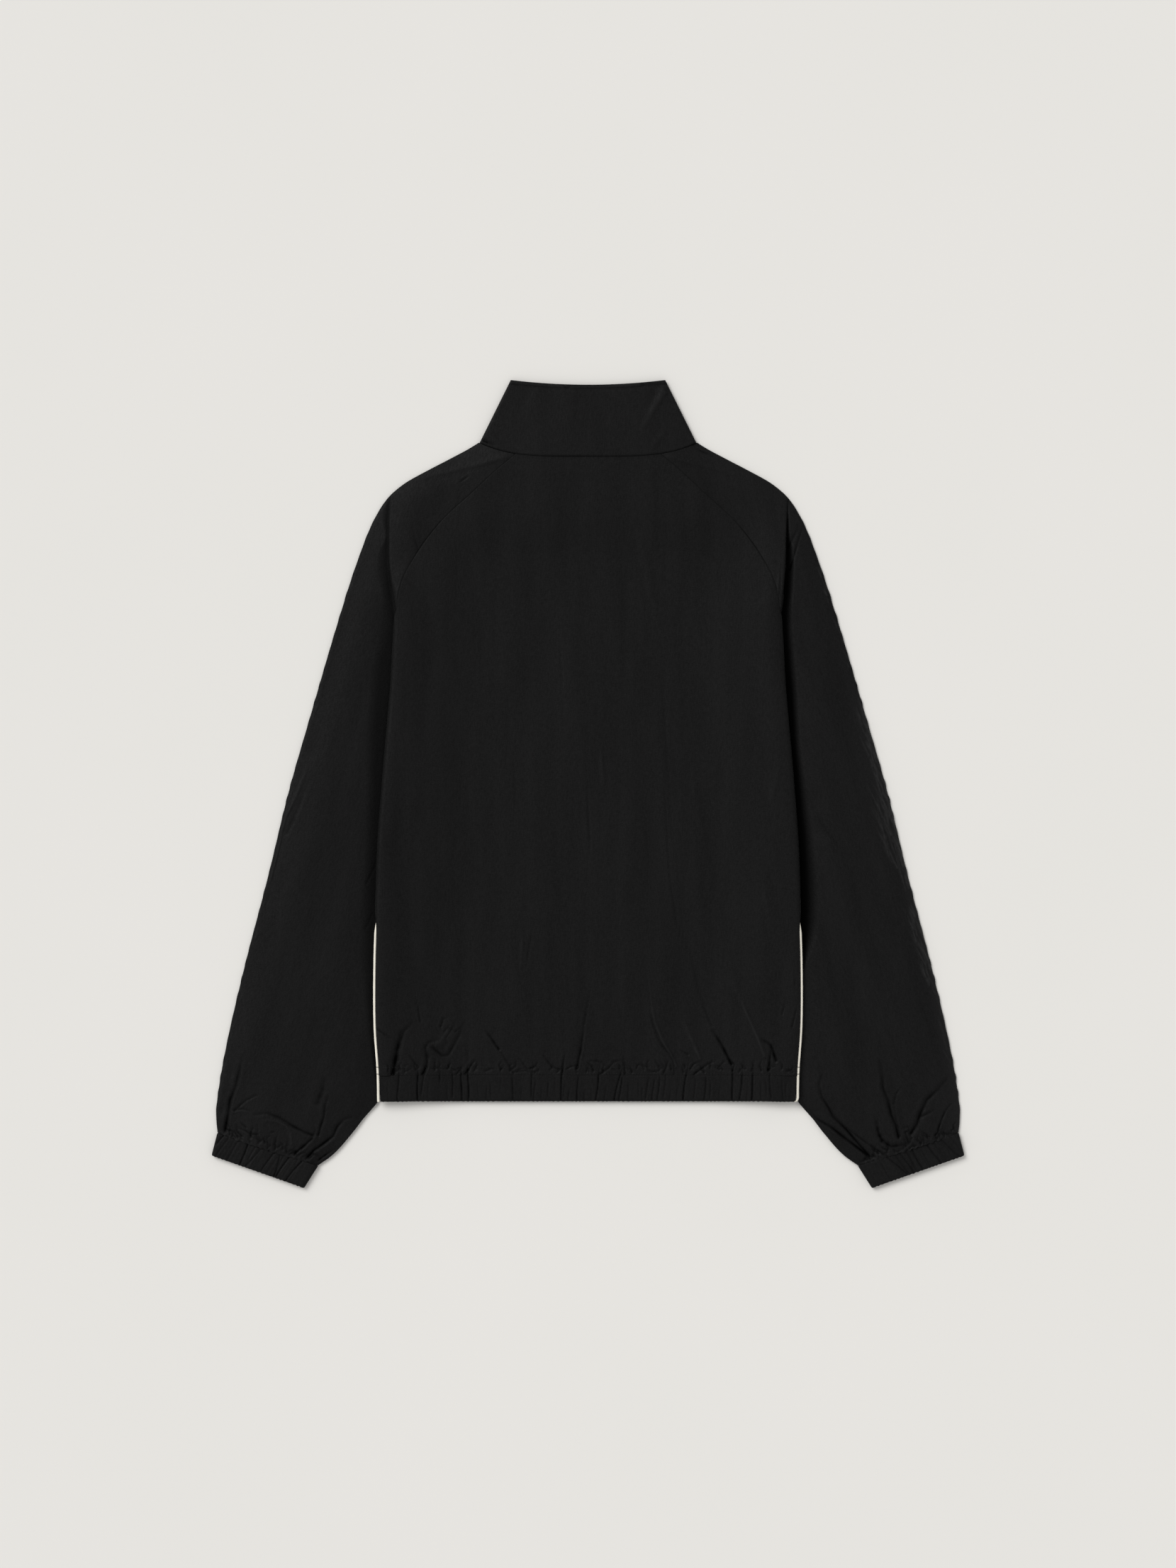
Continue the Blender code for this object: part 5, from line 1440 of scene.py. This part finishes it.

# %% [markdown]
# The collar is one band, open at the zip. Laid flat it runs from the zip along the floor, turns up
# round each side and lies across the back, which is the half that shows. It is two layers of cloth,
# so it is thicker and smoother than the panels. A soft ridge runs down from its right corner, and
# the sewn upper edge dips a little. Shade is painted along the stitches, along the neck seam and
# into narrow creases, and a highlight on narrow ridges.

# %% Collar
COLLAR_WALL = 2.0
COLLAR_RADIUS = 2.8
COLLAR_TOP_HALF = 81.75
COLLAR_TOP_Y = 427.0
COLLAR_BACK_DIP = 5.0
COLLAR_FRONT_DROP = 78.0
COLLAR_HEIGHT = 66.0
COLLAR_TURNS, COLLAR_TURNED = 0.44, 0.56
# The stitch row's place and reach, its dip, and the shade painted along it.
COLLAR_STITCH, STITCH_REACH, STITCH_DIP, STITCH_SHADE = 0.935, 0.014, 0.4, 0.3
COLLAR_EDGE_FALL, COLLAR_EDGE_SHARE = 0.9, 0.05
# Shade painted along the neck seam.
COLLAR_SEAM_SHADE = 0.5
COLLAR_WAVES, WAVES_START = 0.6, 0.03
COLLAR_GRID = (400, 40)
COLLAR_CREASES = (
    Crease(-1.1, 2.8, 0, ((80, 414), (68, 394), (55, 372))), Crease(0.5, 4.0, 0.3, ((74, 420), (60, 396))),
    Crease(-0.5, 2.6, 0, ((79, 371), (65, 353))), Crease(0.4, 1.6, 0.4, ((-100, 371), (-92, 362))),
    Crease(2.2, 1.0, 0.6, ((-110, 362.5), (-104, 360), (-97, 357.5))),
    Crease(0.5, 6.0, 0, ((-62, 416), (-74, 392))), Crease(-0.4, 9.0, 0, ((-20, 410), (-10, 372))),
    Crease(0.9, 1.4, 0.3, ((-26, 421), (-22, 418), (-18, 421), (-4, 420))),
    Crease(0.9, 1.5, 0.3, ((57, 421.5), (66, 423), (83, 424))),
)


def collar_surface(u, w):
    side = np.sign(0.5 - u)
    way = 1 - np.abs(2 * u - 1)
    up = np.interp(w, (0, 0.12, 0.8, 1), (0, 0.05, 0.9, 1))
    half_width = NECK_HALF + (COLLAR_TOP_HALF - NECK_HALF) * up
    straight = half_width - COLLAR_RADIUS
    swing = np.radians(np.interp(way, (COLLAR_TURNS, COLLAR_TURNED), (-90, 90)))
    floor_x = FRONT_EDGE + (straight - FRONT_EDGE) * np.interp(way, (0, COLLAR_TURNS), (0, 1))
    back_x = straight * np.interp(way, (COLLAR_TURNED, 1), (1, 0))
    x = np.where(way < 0.5, floor_x, back_x) + COLLAR_RADIUS * np.cos(swing)
    rho = np.minimum(x / half_width, 1.0)
    side_y = NECK_SIDE_Y + (COLLAR_TOP_Y - NECK_SIDE_Y) * up
    drop = NECK_FRONT_DROP + (COLLAR_FRONT_DROP - NECK_FRONT_DROP) * up
    front_y = side_y - drop * (1 - rho * rho) ** NECK_FRONT_ROUND
    back_y = (1 - up) * neck_back(rho * NECK_HALF) + up * (COLLAR_TOP_Y - COLLAR_BACK_DIP * (1 - rho * rho))
    on_back = swing >= 0
    y = np.where(on_back, back_y, front_y)
    rise = (BODY_STACK + NECK_RISE - 2 * COLLAR_RADIUS) * (1 - up) * (1 - rho ** 4)
    z = COLLAR_RADIUS + COLLAR_RADIUS * np.sin(swing) + np.where(on_back, rise, zip_raise(x, y))
    facing = smooth(np.sin(swing))
    creases, painted_shading = folded(side * x, y, COLLAR_CREASES)
    detail = (creases + COLLAR_WAVES * swell(side * x, y, phase=2.2)) * smooth(up / WAVES_START)
    sewn = bell(up - COLLAR_STITCH, STITCH_REACH)
    seam = bell(up * COLLAR_HEIGHT, SEAM_REACH)
    fall = COLLAR_EDGE_FALL * (1 - quarter((1 - up) / COLLAR_EDGE_SHARE))
    z = z + facing * (detail - STITCH_DIP * sewn - fall - SEAM_DIP * seam)
    # Painted shade along the stitches, the neck seam and the creases; painted highlight on the narrow
    # ridges.
    dark = np.clip(facing * (painted_shading + STITCH_SHADE * sewn + COLLAR_SEAM_SHADE * seam), -1, 1)
    return side * x, y, z, dark


collar = band("collar_band", *COLLAR_GRID, collar_surface, NYLON["body"], wall=-COLLAR_WALL)
dress(collar, "collar")
print(collar.name, len(COLLAR_CREASES), "creases")

# %% [markdown]
# Cream piping is sewn into each side seam: a cord wrapped in a strip of cloth. It shows below the
# point where the back's edge rolls over it. On the right it turns in round the corner of the hem,
# and its upper end turns in below the armpit. A tube is a grid whose sides meet, with its two ends
# filled.

# %% Piping
PIPING_TUCK = 2.8
PIPING_END_TUCK, PIPING_END_STARTS, PIPING_END_REACH = 10.0, 112.0, 55.0
PIPING_TOP_Y = ARMPIT_Y - 6
PIPING_ROUND = 1.5
PIPING_UNEVEN, PIPING_WAVE = 0.03, 2.3
PIPING_GRID = (16, 220)


def piping_surface(side):
    def surface(u, w):
        y = HEM_Y + (PIPING_TOP_Y - HEM_Y) * np.interp(w, (0, 0.15, 1), (0, 0.03, 1))
        middle = body_side(y) - PIPING_RADIUS - PIPING_TUCK * (1 - piping_shown(y))
        middle = middle - PIPING_END_TUCK * smooth((y - PIPING_END_STARTS) / PIPING_END_REACH)
        if side > 0:
            middle = middle - corner_round(y)
        z = side_lift(middle, y) + WALL + SEAM + PIPING_RADIUS
        turn = 2 * math.pi * u
        round_by = PIPING_ROUND * (1 + PIPING_UNEVEN * np.sin(y / PIPING_WAVE + 3 * turn))
        return middle + round_by * np.cos(turn), y, z + round_by * np.sin(turn)

    return surface


def tube(name, columns, rows, surface, finish, side=1):
    """A solid tube on surface(u, w), with u round it and w along it."""
    bm = bmesh.new()
    bmesh.ops.create_grid(bm, x_segments=columns, y_segments=rows, size=0.5)
    verts = list(bm.verts)
    u, w = (np.array([vert.co[axis] for vert in verts]) + 0.5 for axis in (0, 1))
    for vert, *place in zip(verts, *np.broadcast_arrays(*surface(u, w))):
        vert.co = Vector((side * place[0], place[1], place[2])) * MM
    bmesh.ops.remove_doubles(bm, verts=bm.verts, dist=1e-6)
    bmesh.ops.holes_fill(bm, edges=[e for e in bm.edges if e.is_boundary], sides=columns)
    bmesh.ops.recalc_face_normals(bm, faces=bm.faces)
    return finish_piece(name, bm, finish)


for name, side in SIDES.items():
    cord = tube("piping_cord_" + name, *PIPING_GRID, piping_surface(side), PIPING, side)
    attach(cord, "jacket")
    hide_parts("piping_" + name)
    print(cord.name, len(cord.data.polygons), "faces")

# %% [markdown]
# Sewing shows as rows of short stitches that sink into the cloth: two rows along the hem, and one
# along the collar's upper edge. One stitch is a small stretched ball with few faces, and a whole row
# is joined into one mesh.

# %% Stitching
STITCH_PITCH = 3.2
STITCH_SIZE = Vector((2.3, 0.5, 0.42))
STITCH_SINK = 0.05
HEM_ROWS = {"lower": HEM_SEAM_Y + 1.2, "upper": -299.0}
ROW_INSET = 2.0
COLLAR_ROW, COLLAR_STITCHES = 0.87, 110


def stitch_row(name, points):
    """Stitches along a line of points, which are one pitch apart."""
    bm = bmesh.new()
    for before, here, after in zip(points, points[1:], points[2:]):
        run = Vector(after - before)
        turn = run.to_track_quat("X", "Z").to_matrix().to_4x4()
        place = Matrix.Translation(Vector(here) * MM) @ turn @ Matrix.Diagonal((*(STITCH_SIZE * MM / 2), 1))
        bmesh.ops.create_uvsphere(bm, u_segments=6, v_segments=4, radius=1.0, matrix=place)
    made = finish_piece(name, bm, THREAD)
    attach(made, "jacket")
    print(made.name, len(points) - 2, "stitches")


for name, y in HEM_ROWS.items():
    half = float(back_edge(y)) - ROW_INSET
    x = np.arange(-half, half, STITCH_PITCH)
    ys = np.full(x.shape, y)
    z = back_height(x, ys, back_edge(ys) - np.abs(x))[0] - STITCH_SINK
    stitch_row("hem_stitches_" + name, np.stack((x, ys, z), axis=-1))

way = np.linspace(0.3, 0.7, COLLAR_STITCHES)
stitch_row("collar_stitches", np.stack(collar_surface(way, np.full(way.shape, COLLAR_ROW))[:3], axis=-1))

# %% [markdown]
# The two rows of the hem also cross the piping at each side, and there each shows as a thread round
# it. A thread is a narrow hoop a little wider than the piping: a circle, drawn out along the piping
# and given a thickness.

# %% Stitches round the piping
HOOP_CLEAR, HOOP_WIDTH, HOOP_WALL = 0.12, 0.45, 0.15

bm = bmesh.new()
for side in SIDES.values():
    for y in HEM_ROWS.values():
        x = body_side(y) - PIPING_RADIUS
        z = float(side_lift(x, y)) + WALL + SEAM + PIPING_RADIUS
        hoop = Matrix.Translation(Vector((side * x, y, z)) * MM) @ Matrix.Rotation(math.pi / 2, 4, "X")
        reach = (PIPING_ROUND + HOOP_CLEAR) * MM
        ring = bmesh.ops.create_circle(bm, segments=24, radius=reach, matrix=hoop)["verts"]
        edges = list({edge for vert in ring for edge in vert.link_edges})
        wide = bmesh.ops.extrude_edge_only(bm, edges=edges)["geom"]
        verts = [g for g in wide if isinstance(g, bmesh.types.BMVert)]
        bmesh.ops.translate(bm, verts=verts, vec=(0, HOOP_WIDTH * MM, 0))
bmesh.ops.solidify(bm, geom=bm.faces[:], thickness=HOOP_WALL * MM)
bmesh.ops.recalc_face_normals(bm, faces=bm.faces)
hoops = finish_piece("piping_stitches", bm, THREAD)
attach(hoops, "jacket")
print(hoops.name, len(hoops.data.polygons), "faces")

# %% [markdown]
# The zip is hidden under the jacket, so its make is a guess: a closed chain of moulded teeth on two
# woven tapes, with a slider at the neck. A tape is a thin band that lies on the front's edge and is
# sewn to it, and it steps up where the collar starts, which is thicker.

# %% Zip tapes
TAPE_INNER = 2.9
TAPE_WALL = 1.0
TAPE_STEP_Y, TAPE_STEP_REACH, TAPE_CLEAR = 258.0, 10.0, 0.2
TAPE_GRID = (8, 160)
ZIP_TOP_Y = 345.4


def tape_surface(u, w):
    y = HEM_Y + (ZIP_TOP_Y - HEM_Y) * w
    x = TAPE_INNER + (TAPE_OUTER - TAPE_INNER) * u
    cloth = WALL + (COLLAR_WALL + TAPE_CLEAR - WALL) * smooth((y - TAPE_STEP_Y) / TAPE_STEP_REACH)
    return x, y, cloth + SEAM + TAPE_WALL + zip_raise(x, y), 0.0


for name, side in SIDES.items():
    tape = band("woven_tape_" + name, *TAPE_GRID, tape_surface, TAPE, wall=TAPE_WALL, side=side)
    dress(tape, "zip_tape_" + name)
    print(tape.name, len(tape.data.polygons), "faces")

# %% [markdown]
# The teeth are moulded on to the tapes and interlock, so those of one side stand between those of
# the other. One block is repeated along the chain, all the edges are bevelled, and the whole chain
# is one mesh. It stops below the slider.

# %% Zip teeth
SLIDER_Y = 336.5
CHAIN_TOP_Y = SLIDER_Y - 6.8
CHAIN_HEIGHT = 1.7
CHAIN_CLEAR, FIRST_TOOTH = 2.0, 1.5
TOOTH_PITCH = 2.6
TOOTH = (3.2, 1.0, 1.5)
TOOTH_SHIFT = 0.95
TOOTH_BEVEL = 0.16

bm = bmesh.new()
count = int((CHAIN_TOP_Y - HEM_Y - CHAIN_CLEAR) / TOOTH_PITCH)
for k in range(count):
    for side in SIDES.values():
        y = HEM_Y + FIRST_TOOTH + TOOTH_PITCH * (k + 0.25 * (1 + side))
        centre = Vector((side * TOOTH_SHIFT, y, SEAM + CHAIN_HEIGHT / 2 + float(zip_raise(0.0, y))))
        block = Matrix.Translation(centre * MM) @ Matrix.Diagonal((*(Vector(TOOTH) * MM), 1))
        bmesh.ops.create_cube(bm, size=1.0, matrix=block)
bmesh.ops.bevel(bm, geom=bm.edges[:], offset=TOOTH_BEVEL * MM, segments=1, profile=0.5, affect="EDGES",
                material=-1)
teeth = finish_piece("zip_teeth", bm, TEETH)
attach(teeth, "jacket")
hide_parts("zip_chain")
print("zip has", 2 * count, "teeth")

# %% [markdown]
# The slider and its pull tab are cast metal with black enamel. Their solids already have the right
# shape, so each piece is a copy with its flat facets merged and its edges rounded, as enamel rounds
# them. The tab is on a body of its own, because it turns on the slider's bridge.

# %% Slider and pull tab
PULL_BEVEL = 0.18
MERGE_ANGLE = 2


def softened(name, node, bevel):
    """A copy of a hard solid with its facets merged and its edges rounded."""
    bm = bmesh.new()
    bm.from_mesh(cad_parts[node].data)
    bmesh.ops.remove_doubles(bm, verts=bm.verts, dist=1e-6)
    bmesh.ops.dissolve_limit(bm, angle_limit=math.radians(MERGE_ANGLE), verts=bm.verts, edges=bm.edges)
    sharp = [e for e in bm.edges if e.is_manifold and e.calc_face_angle() > math.radians(SHARP_ANGLE)]
    bmesh.ops.bevel(bm, geom=sharp, offset=bevel * MM, segments=2, profile=0.5, affect="EDGES", material=-1,
                    clamp_overlap=True)
    return finish_piece(name, bm, ENAMEL)


for node, body in (("zip_slider", "jacket"), ("zip_pull", "pull_tab")):
    piece = softened(node + "_enamelled", node, PULL_BEVEL)
    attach(piece, body)
    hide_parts(node)
    print(piece.name, len(piece.data.polygons), "faces")

# %% [markdown]
# Last, the triangles of all the shown pieces are counted.

# %% Triangle count
triangles = sum(len(p.vertices) - 2 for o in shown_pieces() if o.type == "MESH" for p in o.data.polygons)
print("triangles in all", triangles)
